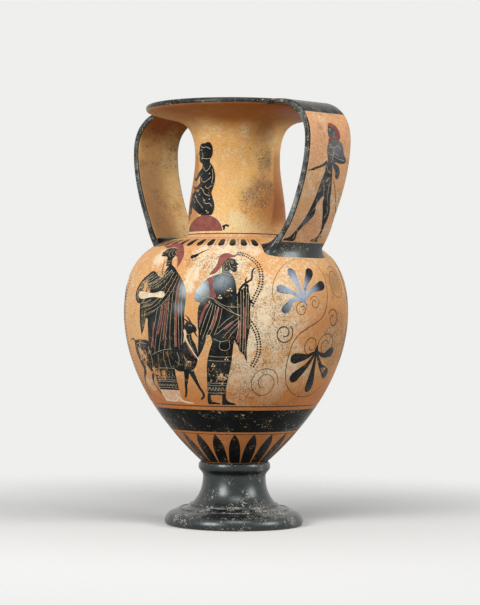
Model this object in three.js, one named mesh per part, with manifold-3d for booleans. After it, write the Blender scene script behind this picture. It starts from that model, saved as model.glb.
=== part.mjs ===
// Black-figure neck-amphora with two broad strap handles, in millimetres.
// +Z is up, the origin is the centre of the resting ring on the ground plane,
// and the handles stand at +X and -X. The pot was thrown as foot, body and neck,
// and luted together with rings of clay. The straps were pulled and stuck on last.

import * as THREE from "three";
import { mergeVertices } from "three/addons/utils/BufferGeometryUtils.js";
import Module from "manifold-3d";

const wasm = await Module();
wasm.setup();

// How finely the round shapes are cut
const turnSides = 48;
const curveSteps = 9;
const roundSteps = 3;

// Room between a piece and the neighbour that cuts it, and the reach of a cutting tool
const luteGap = 0.3;
const cutOverrun = 30;

// Foot: a torus-edged disc, a flare and a stem, hollow underneath
const discRadius = 51.7;
const restInset = 1.3;
const restWidth = 6.4;
const discWidestHeight = 3.2;
const discTopInset = 5.2;
const discTopHeight = 9.6;
const stepInset = 10.5;
const stepHeight = 11.2;
const stemRadius = 23.2;
const stemHeight = 36.3;
const flareSpread = 15.7;
const flareLift = 6.9;
const stemRun = 12.7;
const hollowDepth = 25;
const hollowMidRadius = 24;
const hollowMidHeight = 12;
const restOuterRadius = discRadius - restInset;
const restInnerRadius = restOuterRadius - restWidth;
const discTopRadius = discRadius - discTopInset;
const stepRadius = discRadius - stepInset;

// Spigot on the stem that the collar wraps, and the collar itself
const spigotStep = 3.2;
const spigotHeight = 6;
const collarHeight = 10.4;
const collarSwell = 3.5;
const collarTopSwell = 2.3;
const collarUnderShare = 0.25;
const collarWidestShare = 0.6;
const spigotRadius = stemRadius - spigotStep;
const collarRadius = stemRadius + collarSwell;
const collarTopRadius = stemRadius + collarTopSwell;

// Body: outside from the collar to the belly, then over the shoulder to the neck
const bodyBottomStep = 1.2;
const bodyBottomRadius = stemRadius + bodyBottomStep;
const bellyRadius = 83.3;
const bellyRise = 110.8;
const lowerSpread = 19.4;
const lowerLift = 17.6;
const bellyRunBelow = 52.2;
const shoulderRise = 54.6;
const bellyRunAbove = 40.8;
const shoulderTopRadius = 37.1;
const shoulderSpread = 25.9;
const shoulderDrop = 2;
const bodyWall = 5;
const floorThickness = 6;

// Ring at the joint of body and neck
const ringHeight = 3.5;
const ringProud = 0.6;
const ringEdgeShare = 0.3;
const ringRadius = shoulderTopRadius + ringProud;

// Neck and mouth
const neckBaseInset = 1.1;
const neckSeatStep = 1.6;
const neckBaseRadius = shoulderTopRadius - neckBaseInset;
const neckSeatRadius = neckBaseRadius - neckSeatStep;
const neckBaseSpread = 2.2;
const neckBaseLift = 19.6;
const waistRadius = 31.5;
const waistRise = 55;
const waistRunBelow = 16.2;
const mouthRise = 33.7;
const waistRunAbove = 34.9;
const mouthSpread = 20.8;
const mouthDrop = 7.4;
const lipRadius = 68.6;
const lipHeight = 5.7;
const lipRound = 1.4;
const lipTopWidth = 4.2;
const lipTurnShare = 0.3;
const neckWall = 4.6;

// Strap handles: outer line from the lip over the bend and down to the shoulder
const strapWidth = 40.4;
const strapThickness = 5.7;
const strapEdgeRound = 1.3;
const strapTopDrop = 0.3;
const strapSpringDepth = 8.6;
const strapTopPull = 5;
const strapOverhang = 15.1;
const strapBendDrop = 29.9;
const strapBendPull = 26;
const strapFallPull = 34.9;
const strapRootShare = 0.58;
const strapEndDepth = 7;
const strapEndSpread = 0.6;
const strapEndPull = 7;
const rootSpreadHeight = 32;
const rootHalfWidth = 23.5;

// Luting pad smeared round each strap where it meets the shoulder
const padHalfWidth = 28.5;
const padHalfLength = 10;
const padHalfHeight = 4.6;
const padSink = 0.3;
const padSides = 24;
const padBands = 12;

// Heights worked out from the pieces below
const bodyBottomHeight = stemHeight + collarHeight;
const bellyHeight = bodyBottomHeight + bellyRise;
const shoulderTopHeight = bellyHeight + shoulderRise;
const neckBaseHeight = shoulderTopHeight + ringHeight;
const waistHeight = neckBaseHeight + waistRise;
const lipUnderHeight = waistHeight + mouthRise;
const potHeight = lipUnderHeight + lipHeight;

const point = (across, up) => new THREE.Vector2(across, up);

// Points of a cubic curve from one point to another, with its two pulling points
function bend(start, startPull, endPull, end, steps = curveSteps) {
  return new THREE.CubicBezierCurve(start, startPull, endPull, end).getPoints(steps);
}

// A line moved sideways by a distance, to the left of its own direction
function beside(line, distance) {
  return line.map((here, i) => {
    const before = line[Math.max(i - 1, 0)];
    const after = line[Math.min(i + 1, line.length - 1)];
    const along = after.clone().sub(before).normalize();
    return point(here.x - along.y * distance, here.y + along.x * distance);
  });
}

// A closed profile of (radius, height) points turned round the pot's axis
function turned(profile) {
  const geometry = new THREE.LatheGeometry([...profile, profile[0]], turnSides);
  return geometry.rotateX(Math.PI / 2);
}

// A closed geometry as a solid that can be cut and joined
function solidOf(geometry) {
  const bare = geometry.clone();
  bare.deleteAttribute("normal");
  bare.deleteAttribute("uv");
  const merged = mergeVertices(bare);
  const vertProperties = new Float32Array(merged.attributes.position.array);
  const triVerts = new Uint32Array(merged.index.array);
  return new wasm.Manifold(new wasm.Mesh({ numProp: 3, vertProperties, triVerts }));
}

// A solid back as a geometry with flat-shaded faces
function geometryOf(solid) {
  const mesh = solid.getMesh();
  const geometry = new THREE.BufferGeometry();
  geometry.setAttribute("position", new THREE.BufferAttribute(mesh.vertProperties, 3));
  geometry.setIndex(new THREE.BufferAttribute(mesh.triVerts, 1));
  geometry.computeVertexNormals();
  return geometry;
}

// Foot
function footGeometry() {
  const flare = bend(
    point(stepRadius, stepHeight),
    point(stepRadius - flareSpread, stepHeight + flareLift),
    point(stemRadius, stemHeight - stemRun),
    point(stemRadius, stemHeight),
  );
  const hollow = new THREE.QuadraticBezierCurve(
    point(0, hollowDepth),
    point(hollowMidRadius, hollowMidHeight),
    point(restInnerRadius, 0),
  ).getPoints(roundSteps + 1);
  const edge = new THREE.SplineCurve([
    point(restOuterRadius, 0),
    point(discRadius, discWidestHeight),
    point(discTopRadius, discTopHeight),
  ]).getPoints(curveSteps - 2);
  return turned([
    ...hollow,
    ...edge,
    point(stepRadius, discTopHeight),
    ...flare,
    point(spigotRadius, stemHeight),
    point(spigotRadius, stemHeight + spigotHeight),
    point(0, stemHeight + spigotHeight),
  ]);
}

// Fillet ring that hides the joint of stem and body
function collarGeometry() {
  const inner = spigotRadius + luteGap;
  const swell = new THREE.QuadraticBezierCurve(
    point(stemRadius, stemHeight),
    point(collarRadius, stemHeight + collarHeight * collarUnderShare),
    point(collarRadius, stemHeight + collarHeight * collarWidestShare),
  ).getPoints(roundSteps + 1);
  return turned([
    point(inner, stemHeight),
    ...swell,
    point(collarTopRadius, bodyBottomHeight),
    point(inner, bodyBottomHeight),
  ]);
}

// Line of the shoulder, and the spot on it where a strap is rooted
const shoulderLine = new THREE.CubicBezierCurve(
  point(bellyRadius, bellyHeight),
  point(bellyRadius, bellyHeight + bellyRunAbove),
  point(shoulderTopRadius + shoulderSpread, shoulderTopHeight - shoulderDrop),
  point(shoulderTopRadius, shoulderTopHeight),
);
const rootSpot = shoulderLine.getPoint(strapRootShare);
const rootSlope = shoulderLine.getTangent(strapRootShare);

// Outside line of the body, from the collar to the neck joint
function bodyOutline() {
  const lower = bend(
    point(bodyBottomRadius, bodyBottomHeight),
    point(bodyBottomRadius + lowerSpread, bodyBottomHeight + lowerLift),
    point(bellyRadius, bellyHeight - bellyRunBelow),
    point(bellyRadius, bellyHeight),
    curveSteps + 2,
  );
  return [...lower, ...shoulderLine.getPoints(curveSteps + 2).slice(1)];
}

function bodyGeometry() {
  const outline = bodyOutline();
  const floorHeight = bodyBottomHeight + floorThickness;
  const throatRadius = shoulderTopRadius - bodyWall;
  const inside = beside(outline, bodyWall)
    .filter((p) => p.y > floorHeight && p.x > throatRadius)
    .reverse();
  return turned([
    point(0, stemHeight + spigotHeight),
    point(spigotRadius, stemHeight + spigotHeight),
    point(spigotRadius, bodyBottomHeight),
    ...outline,
    point(throatRadius, shoulderTopHeight),
    ...inside,
    point(inside.at(-1).x / 2, floorHeight),
    point(0, floorHeight),
  ]);
}

// Ring at the neck joint
function ringGeometry() {
  const inner = neckSeatRadius + luteGap;
  return turned([
    point(inner, shoulderTopHeight),
    point(shoulderTopRadius, shoulderTopHeight),
    point(ringRadius, shoulderTopHeight + ringHeight * ringEdgeShare),
    point(ringRadius, neckBaseHeight - ringHeight * ringEdgeShare),
    point(neckBaseRadius, neckBaseHeight),
    point(inner, neckBaseHeight),
  ]);
}

// Neck and mouth, thrown as one piece
function neckGeometry() {
  const throatRadius = shoulderTopRadius - bodyWall;
  const neck = bend(
    point(neckBaseRadius, neckBaseHeight),
    point(neckBaseRadius + neckBaseSpread, neckBaseHeight + neckBaseLift),
    point(waistRadius, waistHeight - waistRunBelow),
    point(waistRadius, waistHeight),
  );
  const flare = bend(
    point(waistRadius, waistHeight),
    point(waistRadius, waistHeight + waistRunAbove),
    point(lipRadius - mouthSpread, lipUnderHeight - mouthDrop),
    point(lipRadius - lipRound, lipUnderHeight - lipRound * lipTurnShare),
  );
  const outline = [...neck, ...flare.slice(1)];
  const lipInner = lipRadius - lipRound - lipTopWidth;
  const inside = beside(outline, neckWall)
    .filter((p) => p.x < lipInner - lipRound && p.y > neckBaseHeight + neckWall)
    .reverse();
  return turned([
    point(throatRadius, shoulderTopHeight),
    point(neckSeatRadius, shoulderTopHeight),
    point(neckSeatRadius, neckBaseHeight),
    ...outline,
    point(lipRadius, lipUnderHeight + lipRound),
    point(lipRadius, potHeight - lipRound),
    point(lipRadius - lipRound, potHeight),
    point(lipInner, potHeight),
    ...inside,
  ]);
}

// Outer line of a strap seen from the side, from the lip to the shoulder
function strapOutline() {
  const top = potHeight - strapTopDrop;
  const reach = bellyRadius + strapOverhang;
  const bendHeight = potHeight - strapBendDrop;
  const endRadius = rootSpot.x + strapEndSpread;
  const endHeight = rootSpot.y - strapEndDepth;
  const over = bend(
    point(lipRadius, top),
    point(lipRadius + strapTopPull, top),
    point(reach, bendHeight + strapBendPull),
    point(reach, bendHeight),
  );
  const down = bend(
    point(reach, bendHeight),
    point(reach, bendHeight - strapFallPull),
    point(endRadius + strapEndSpread, endHeight + strapEndPull),
    point(endRadius, endHeight),
  );
  return [point(lipRadius - strapSpringDepth, top), ...over, ...down.slice(1)];
}

// A geometry's point turned round the pot's axis by the angle that its sideways reach spans
function wrapPoint(spots, i, radius, share) {
  const reach = spots.getX(i);
  const turn = (share * spots.getY(i)) / radius;
  const left = (1 - share) * spots.getY(i);
  spots.setX(i, reach * Math.cos(turn));
  spots.setY(i, left + reach * Math.sin(turn));
}

// A strap before it is cut, swollen all round by a margin. Towards its root it spreads,
// and it bends round the pot's axis to lie along the shoulder.
function strapBlank(margin) {
  const outer = beside(strapOutline(), margin - strapEdgeRound);
  const inner = beside(strapOutline(), strapEdgeRound - strapThickness - margin);
  const side = new THREE.Shape([...outer, ...inner.reverse()]);
  const depth = strapWidth + 2 * (margin - strapEdgeRound);
  const blank = new THREE.ExtrudeGeometry(side, {
    depth,
    bevelThickness: strapEdgeRound,
    bevelSize: strapEdgeRound,
    bevelSegments: 2,
    curveSegments: curveSteps,
  });
  blank.translate(0, 0, -depth / 2);
  blank.rotateX(Math.PI / 2);
  const spots = blank.attributes.position;
  const spreadTop = rootSpot.y - strapEndDepth + rootSpreadHeight;
  const rootWidening = (2 * rootHalfWidth) / strapWidth - 1;
  for (let i = 0; i < spots.count; i += 1) {
    const share = THREE.MathUtils.clamp((spreadTop - spots.getZ(i)) / rootSpreadHeight, 0, 1);
    spots.setY(i, spots.getY(i) * (1 + rootWidening * share ** 3));
    wrapPoint(spots, i, rootSpot.x, THREE.MathUtils.smoothstep(share, 0, 1));
  }
  return solidOf(blank);
}

// The shoulder and belly as a solid, swollen by the luting gap, that trims what is stuck on
function shoulderTool() {
  const skin = beside(bodyOutline(), -luteGap);
  return solidOf(
    turned([point(0, bodyBottomHeight), ...skin, point(0, shoulderTopHeight + luteGap)]),
  );
}

// The mouth as a plug that trims the straps
function mouthTool() {
  const plug = new THREE.CylinderGeometry(
    lipRadius + luteGap,
    lipRadius + luteGap,
    2 * cutOverrun,
    turnSides,
  );
  plug.rotateX(Math.PI / 2);
  plug.translate(0, 0, potHeight);
  return solidOf(plug);
}

function handleGeometry() {
  return geometryOf(strapBlank(0).subtract(shoulderTool()).subtract(mouthTool()));
}

// Pad of clay bent round the shoulder at the foot of a strap, with the strap passing through it
function rootGeometry() {
  const pad = new THREE.SphereGeometry(1, padSides, padBands);
  pad.scale(padHalfLength, padHalfWidth, padHalfHeight);
  pad.rotateY(Math.atan2(rootSlope.y, -rootSlope.x));
  pad.translate(rootSpot.x, 0, rootSpot.y - padSink);
  const spots = pad.attributes.position;
  for (let i = 0; i < spots.count; i += 1) {
    wrapPoint(spots, i, rootSpot.x, 1);
  }
  return geometryOf(solidOf(pad).subtract(shoulderTool()).subtract(strapBlank(luteGap)));
}

// Finishes
const slip = new THREE.MeshStandardMaterial({ color: 0x23231f, roughness: 0.4, metalness: 0 });
const clay = new THREE.MeshStandardMaterial({ color: 0xc98f5e, roughness: 0.75, metalness: 0 });

const pot = new THREE.Group();

function addPiece(name, geometry, material) {
  const piece = new THREE.Mesh(geometry, material);
  piece.name = name;
  pot.add(piece);
  return piece;
}

addPiece("foot", footGeometry(), slip);
addPiece("foot_collar", collarGeometry(), slip);
addPiece("body", bodyGeometry(), clay);
addPiece("neck_ring", ringGeometry(), clay);
addPiece("neck_and_mouth", neckGeometry(), clay);
for (const [side, turn] of [["right", 0], ["left", Math.PI]]) {
  addPiece(`handle_${side}`, handleGeometry(), clay).rotation.z = turn;
  addPiece(`handle_root_${side}`, rootGeometry(), slip).rotation.z = turn;
}

export default pot;
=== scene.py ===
# %% [markdown]
# # A black-figure neck-amphora
# This lesson dresses the solids of an ancient Greek storage jar. The solids say where each thrown
# or pulled piece of clay sits. Blender adds what the potter and the painter left on it: soft luted
# joints, orange clay, glossy black slip, scratched lines, added red and white, and long wear.

# %% Load the frame
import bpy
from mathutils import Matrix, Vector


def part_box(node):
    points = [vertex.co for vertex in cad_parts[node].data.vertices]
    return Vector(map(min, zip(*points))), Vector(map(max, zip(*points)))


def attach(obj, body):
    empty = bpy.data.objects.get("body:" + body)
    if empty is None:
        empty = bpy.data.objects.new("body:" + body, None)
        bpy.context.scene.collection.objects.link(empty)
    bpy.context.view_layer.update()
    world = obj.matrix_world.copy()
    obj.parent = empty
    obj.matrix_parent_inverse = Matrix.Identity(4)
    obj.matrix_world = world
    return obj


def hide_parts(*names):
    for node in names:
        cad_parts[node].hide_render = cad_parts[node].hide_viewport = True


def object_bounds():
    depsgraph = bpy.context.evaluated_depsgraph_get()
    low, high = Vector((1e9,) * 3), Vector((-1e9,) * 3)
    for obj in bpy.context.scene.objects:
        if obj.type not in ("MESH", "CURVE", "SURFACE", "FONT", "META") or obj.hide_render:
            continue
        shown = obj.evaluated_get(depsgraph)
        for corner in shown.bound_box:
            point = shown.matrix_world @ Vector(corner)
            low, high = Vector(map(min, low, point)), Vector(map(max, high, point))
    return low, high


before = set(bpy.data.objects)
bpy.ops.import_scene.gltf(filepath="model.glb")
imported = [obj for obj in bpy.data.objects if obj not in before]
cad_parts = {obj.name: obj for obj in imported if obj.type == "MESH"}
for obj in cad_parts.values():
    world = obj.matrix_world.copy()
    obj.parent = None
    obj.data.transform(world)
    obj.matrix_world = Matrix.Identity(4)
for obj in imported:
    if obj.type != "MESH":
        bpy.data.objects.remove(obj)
cad_low, cad_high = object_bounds()
print("CAD box in mm:", [round(v * 1000, 1) for v in (*cad_low, *cad_high)])

# %% Tools and units
import math

import bmesh
import bpy
import numpy as np
from mathutils import Matrix, Vector, noise
from mathutils.geometry import interpolate_bezier

MM = 0.001
TURN = 2 * math.pi
HALF_WAY = 0.5

# %% [markdown]
# ## Camera
# The photograph was taken level with the belly, from far away, so the mouth and the foot both
# show as thin ellipses. The handles stand at +X and -X, and the camera looks in between one handle
# and the front. A long lens with the same distance gives the same ellipses. The picture leans by
# about half a degree, so the camera rolls by as much.

# %% Place the camera
IMAGE_HEIGHT_PX = 605
FOCAL_PX = 1900
SENSOR = 36
CAMERA_TURN = math.radians(48)
CAMERA_DISTANCE = 1414 * MM
CAMERA_HEIGHT = 156.8 * MM
AXIS_OFFSET_PX = -3.9
HORIZON_OFFSET_PX = 10.5
CAMERA_ROLL = math.radians(0.6)


def place_camera():
    """A camera at the photograph's viewing angle, with its sensor width along the long side."""
    data = bpy.data.cameras.new("photo_camera")
    data.sensor_width = SENSOR
    data.lens = FOCAL_PX / IMAGE_HEIGHT_PX * SENSOR
    data.clip_start = 0.05
    camera = bpy.data.objects.new("photo_camera", data)
    bpy.context.collection.objects.link(camera)
    facing = Matrix.Rotation(CAMERA_TURN, 4, "Z") @ Matrix.Rotation(math.pi / 2, 4, "X")
    yaw = Matrix.Rotation(AXIS_OFFSET_PX / FOCAL_PX, 4, "Y")
    pitch = Matrix.Rotation(HORIZON_OFFSET_PX / FOCAL_PX, 4, "X")
    roll = Matrix.Rotation(CAMERA_ROLL, 4, "Z")
    spot = Vector((math.sin(CAMERA_TURN), -math.cos(CAMERA_TURN), 0)) * CAMERA_DISTANCE
    spot.z = CAMERA_HEIGHT
    camera.matrix_world = Matrix.Translation(spot) @ facing @ yaw @ pitch @ roll
    bpy.context.scene.camera = camera
    return camera


camera = place_camera()
print("lens in mm:", round(camera.data.lens, 1))

# %% [markdown]
# ## Shared effects
# Every surface here is one of three things: bare clay, glossy black slip, or a matt colour laid
# over the slip. Each wears the same way, so the effects are node groups that the materials share.
# A group puts out only colours, masks and heights. All of them read Object coordinates, so a chip
# in the slip shows the very clay that lies around it.

# %% Node helpers


def linear(code):
    """A colour written as on a paint chart, such as C8905A, in the values that shaders use."""
    parts = [int(code[i : i + 2], 16) / 255 for i in (0, 2, 4)]
    return (*[p / 12.92 if p <= 0.04045 else ((p + 0.055) / 1.055) ** 2.4 for p in parts], 1)


class Wiring:
    """A short way to add nodes to a tree and join them. Its textures read one place."""

    def __init__(self, tree):
        self.tree = tree
        self.place = None

    def put(self, value, socket):
        if isinstance(value, bpy.types.NodeSocket):
            self.tree.links.new(value, socket)
        else:
            socket.default_value = value

    def set(self, node, **inputs):
        for key, value in inputs.items():
            self.put(value, node.inputs[key.replace("_", " ")])
        return node

    def add(self, kind, settings=(), **inputs):
        node = self.tree.nodes.new(kind)
        for key, value in dict(settings).items():
            setattr(node, key, value)
        return self.set(node, **inputs)

    def fill(self, node, values):
        for value, socket in zip(values, node.inputs):
            self.put(value, socket)
        return node.outputs

    def math(self, operation, *values, clamp=False):
        node = self.add("ShaderNodeMath", {"operation": operation, "use_clamp": clamp})
        return self.fill(node, values)[0]

    def vector(self, operation, *values):
        return self.fill(self.add("ShaderNodeVectorMath", {"operation": operation}), values)

    def times(self, a, b):
        return self.math("MULTIPLY", a, b)

    def less(self, a, b):
        return self.math("SUBTRACT", a, b)

    def slope(self, value, rise, start):
        """The value times its rise, plus a start."""
        return self.math("MULTIPLY_ADD", value, rise, start)

    def most(self, top, *others):
        for other in others:
            top = self.math("MAXIMUM", top, other)
        return top

    def ramp(self, value, low, high):
        """0 at one value, 1 at another, and soft between them."""
        settings = {"interpolation_type": "SMOOTHSTEP"}
        node = self.add("ShaderNodeMapRange", settings, Value=value, From_Min=low, From_Max=high)
        return node.outputs["Result"]

    def mix(self, share, a, b, blend="MIX"):
        settings = {"data_type": "RGBA", "blend_type": blend}
        return self.add("ShaderNodeMix", settings, Factor=share, A=a, B=b).outputs["Result"]

    def lay(self, tone, over, mask, share):
        """A colour laid over a tone where the mask says, up to a share."""
        return self.mix(self.times(mask, share), tone, over)

    def tint(self, mask, tone, code):
        """The tone multiplied by a colour where the mask says."""
        return self.mix(mask, tone, self.mix(1.0, tone, linear(code), "MULTIPLY"))

    def axes(self):
        return self.add("ShaderNodeSeparateXYZ", Vector=self.place).outputs

    def scaled(self, *factors):
        return self.vector("MULTIPLY", self.place, factors)["Vector"]

    def off_axis(self):
        """How far the place is from the pot's axis."""
        return self.vector("LENGTH", self.scaled(1, 1, 0))["Value"]

    def noise(self, scale, detail=3.0, rough=0.55, warp=0.0, at=None):
        values = {"Scale": scale, "Detail": detail, "Roughness": rough, "Distortion": warp}
        return self.add("ShaderNodeTexNoise", Vector=at or self.place, **values).outputs["Fac"]

    def specks(self, scale, size, spared):
        """Round specks, one to a cell. A share of the cells is spared."""
        cells = self.add("ShaderNodeTexVoronoi", Vector=self.place, Scale=scale).outputs
        shade = self.add("ShaderNodeSeparateColor", Color=cells["Color"]).outputs[0]
        speck = self.ramp(cells["Distance"], size, size * HALF_WAY)
        return self.times(speck, self.math("GREATER_THAN", shade, spared))

    def near(self, middle, reach):
        """A soft mask round a place in mm, 1 in the middle and 0 at its reach."""
        gap = self.vector("DISTANCE", self.place, [v * MM for v in middle])["Value"]
        return self.ramp(gap, reach * MM, 0)

    def near_any(self, spots):
        return self.most(0.0, *[self.near(*spot) for spot in spots])

    def near_ring(self, radius, height, reach):
        """A soft mask along a ring round the axis, its measures in mm."""
        across = self.math("ABSOLUTE", self.less(self.off_axis(), radius * MM))
        upward = self.math("ABSOLUTE", self.less(self.axes()["Z"], height * MM))
        return self.ramp(self.math("ADD", across, upward), reach * MM, 0)


def new_group(name, colours, amounts, outputs):
    """A node group that takes a place, colours and amounts. Returns its wiring and its two ends."""
    tree = bpy.data.node_groups.new(name, "ShaderNodeTree")
    inputs = [("Place", "Vector", None)]
    inputs += [(label, "Color", linear(code)) for label, code in colours.items()]
    inputs += [(label, "Float", amount) for label, amount in amounts.items()]
    for label, kind, default in inputs:
        socket = tree.interface.new_socket(label, in_out="INPUT", socket_type="NodeSocket" + kind)
        if default is not None:
            socket.default_value = default
    for label in outputs:
        kind = "Color" if label == "Color" else "Float"
        tree.interface.new_socket(label, in_out="OUTPUT", socket_type="NodeSocket" + kind)
    w = Wiring(tree)
    given = w.add("NodeGroupInput").outputs
    w.place = given["Place"]
    return w, given, w.add("NodeGroupOutput")


# %% [markdown]
# ### Fired clay
# The clay fired orange, and burial gave it a fine cream crust, brown stains and small dark pits. One
# flat orange would look like plastic. Broad noise shifts the tone, a fine one lays the crust as
# grain, and two sizes of cell make the pits, thicker in some places than in others. A net of fine
# cracks breaks the crust. Faint rings at even heights are what the potter's fingers left.

# %% Clay group
CLAY_COLOURS = {
    "Base": "DBA062",
    "Warm": "C97F45",
    "Crust": "E9D3A8",
    "Stain": "8A6236",
    "Gold": "E0A44C",
}
CLAY_AMOUNTS = {"Crust Amount": 0.5, "Stain Amount": 0.3, "Pit Amount": 1.0}


def clay_group():
    """Colour, roughness and height of bare clay at a place on the pot."""
    w, given, end = new_group("clay_surface", CLAY_COLOURS, CLAY_AMOUNTS, ("Color", "Roughness", "Height"))
    middle = w.noise(75, 4, 0.6, 0.5)
    fine = w.noise(440, 5, 0.75, 0.3)
    grain = w.noise(1300, 3, 0.75)
    tone = w.lay(given["Base"], given["Warm"], w.ramp(w.noise(18, 3, 0.5, 0.5), 0.35, 0.68), 0.7)
    tone = w.lay(tone, given["Warm"], w.ramp(middle, 0.4, 0.68), 0.5)
    tone = w.lay(tone, given["Gold"], w.ramp(w.noise(27, 4, 0.65, 1.2), 0.52, 0.66), 0.5)
    # The crust is a sum of noises set against a level, so that it thickens where they agree.
    layers = w.slope(w.noise(11, 2), 0.28, w.slope(fine, 0.42, w.times(middle, 0.3)))
    crust = w.ramp(w.less(layers, w.slope(given["Crust Amount"], -0.26, 0.62)), -0.035, 0.085)
    tone = w.lay(tone, given["Crust"], crust, 0.85)
    cloud = w.slope(w.noise(30, 4, 0.65, 1.0), 0.6, w.times(fine, 0.4))
    stain = w.ramp(w.less(cloud, w.slope(given["Stain Amount"], -0.3, 0.68)), -0.05, 0.12)
    tone = w.lay(tone, given["Stain"], stain, 0.6)
    grit = w.times(w.ramp(w.noise(1050, 3, 0.65), 0.54, 0.62), 0.75)
    net = w.add("ShaderNodeTexVoronoi", {"feature": "DISTANCE_TO_EDGE"}, Vector=w.place, Scale=330)
    crack = w.times(w.ramp(net.outputs["Distance"], 0.07, 0.02), w.ramp(w.noise(230, 3, 0.6), 0.46, 0.58))
    pits = w.most(w.specks(820, 0.42, 0.35), w.specks(380, 0.28, 0.6), grit, w.times(crack, 0.7))
    patchy = w.less(w.noise(60, 4, 0.7), w.slope(given["Pit Amount"], -0.22, 0.68))
    pits = w.times(pits, w.ramp(patchy, -0.02, 0.1))
    tone = w.lay(tone, linear("402C1C"), pits, 0.82)
    tone = w.lay(tone, linear("F0DAAC"), w.ramp(grain, 0.45, 0.68), 0.34)
    tone = w.lay(tone, linear("85522A"), w.ramp(grain, 0.5, 0.32), 0.42)
    wheel = w.noise(1.0, 2, at=w.scaled(6, 6, 260))
    height = w.slope(pits, -0.9, w.slope(crust, 0.5, w.times(grain, 0.3)))
    rough = w.slope(crust, 0.22, w.slope(fine, 0.2, 0.44))
    w.set(end, Color=tone, Roughness=rough, Height=w.slope(wheel, 0.35, height))
    return w.tree


CLAY = clay_group()
print("clay group nodes:", len(CLAY.nodes))

# %% [markdown]
# ### Worn slip
# The black is a fine slip that sintered to a gloss. It thins to brown at brush edges, flakes off
# in chips, and picks up scratches. This group says only how much slip is left, so the materials
# mix it with the clay beneath.

# %% Slip group
SLIP_AMOUNTS = {"Chips": 0.3, "Scratches": 0.3, "Bloom": 0.3, "Flecks": 0.0}
SCRATCH_TURNS = ((0.5, 0.35, 0.9), (1.3, -0.4, 0.2), (-0.7, 0.9, 2.1))


def slip_group():
    """How much black is left at a place, and how thin it is."""
    w, given, end = new_group("slip_wear", {}, SLIP_AMOUNTS, ("Left", "Bloom", "Height", "Gloss"))
    fine = w.noise(330, 5, 0.7, 0.3)
    worn = w.slope(w.noise(42, 3, 0.6), 0.5, w.times(fine, 0.5))
    chips = w.ramp(w.less(worn, w.slope(given["Chips"], -0.27, 0.72)), -0.008, 0.012)
    marks = w.ramp(w.noise(1500, 2, 0.6), 0.64, 0.68)
    for turn in SCRATCH_TURNS:
        lean = w.add("ShaderNodeMapping", Vector=w.place, Rotation=turn)
        along = w.vector("MULTIPLY", lean.outputs[0], (1500, 300, 300))["Vector"]
        marks = w.most(marks, w.ramp(w.noise(1.0, 1, 0.5, 0.3, at=along), 0.67, 0.72))
    marks = w.times(marks, w.ramp(w.noise(70, 4, 0.7), 0.5, 0.58))
    marks = w.math("MULTIPLY", marks, given["Scratches"], clamp=True)
    small = w.less(w.noise(1050, 3, 0.7, 0.8), w.slope(given["Flecks"], -0.3, 0.82))
    gone = w.most(chips, marks, w.ramp(small, -0.01, 0.04))
    haze = w.ramp(w.noise(60, 4, 0.65, 0.5), 0.4, 0.75)
    w.set(
        end,
        Left=w.less(1.0, gone),
        Bloom=w.times(haze, given["Bloom"]),
        Height=w.slope(gone, -1.0, w.times(fine, 0.18)),
        Gloss=w.slope(w.noise(240, 3), 0.25, 0.14),
    )
    return w.tree


SLIP = slip_group()
print("slip group nodes:", len(SLIP.nodes))

# %% [markdown]
# ### Makers of finishes
# Every finish starts from the same shader and ends in a bump of real depth. Bare clay is the clay
# group alone. Slip is the slip group's mask over that clay, with more wear at chosen places.

# %% Material makers
CLAY_DEPTH = 0.12 * MM
SLIP_DEPTH = 0.1 * MM
BARE_ROUGHNESS = 0.7


def bare_material(name):
    """A new material, its wiring and its shader."""
    material = bpy.data.materials.new(name)
    material.use_nodes = True
    material.node_tree.nodes.clear()
    w = Wiring(material.node_tree)
    w.place = w.add("ShaderNodeTexCoord").outputs["Object"]
    shader = w.add("ShaderNodeBsdfPrincipled", Specular_IOR_Level=0.2)
    w.add("ShaderNodeOutputMaterial", Surface=shader.outputs[0])
    return material, w, shader


def clay_node(w, crust, stain, pits, colours=()):
    """The clay group placed in a material with its own values."""
    amounts = {"Crust_Amount": crust, "Stain_Amount": stain, "Pit_Amount": pits}
    tones = {label: linear(code) for label, code in dict(colours).items()}
    return w.add("ShaderNodeGroup", {"node_tree": CLAY}, Place=w.place, **amounts, **tones)


def relief(w, shader, height, depth):
    """A bump of real depth in metres, into the shader's normal."""
    w.set(shader, Normal=w.add("ShaderNodeBump", Height=height, Distance=depth).outputs[0])


def clay_surface(w, shader, clay, tone):
    """A tone with the clay's own roughness and relief."""
    w.set(shader, Base_Color=tone, Roughness=clay.outputs["Roughness"])
    relief(w, shader, clay.outputs["Height"], CLAY_DEPTH)


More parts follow.
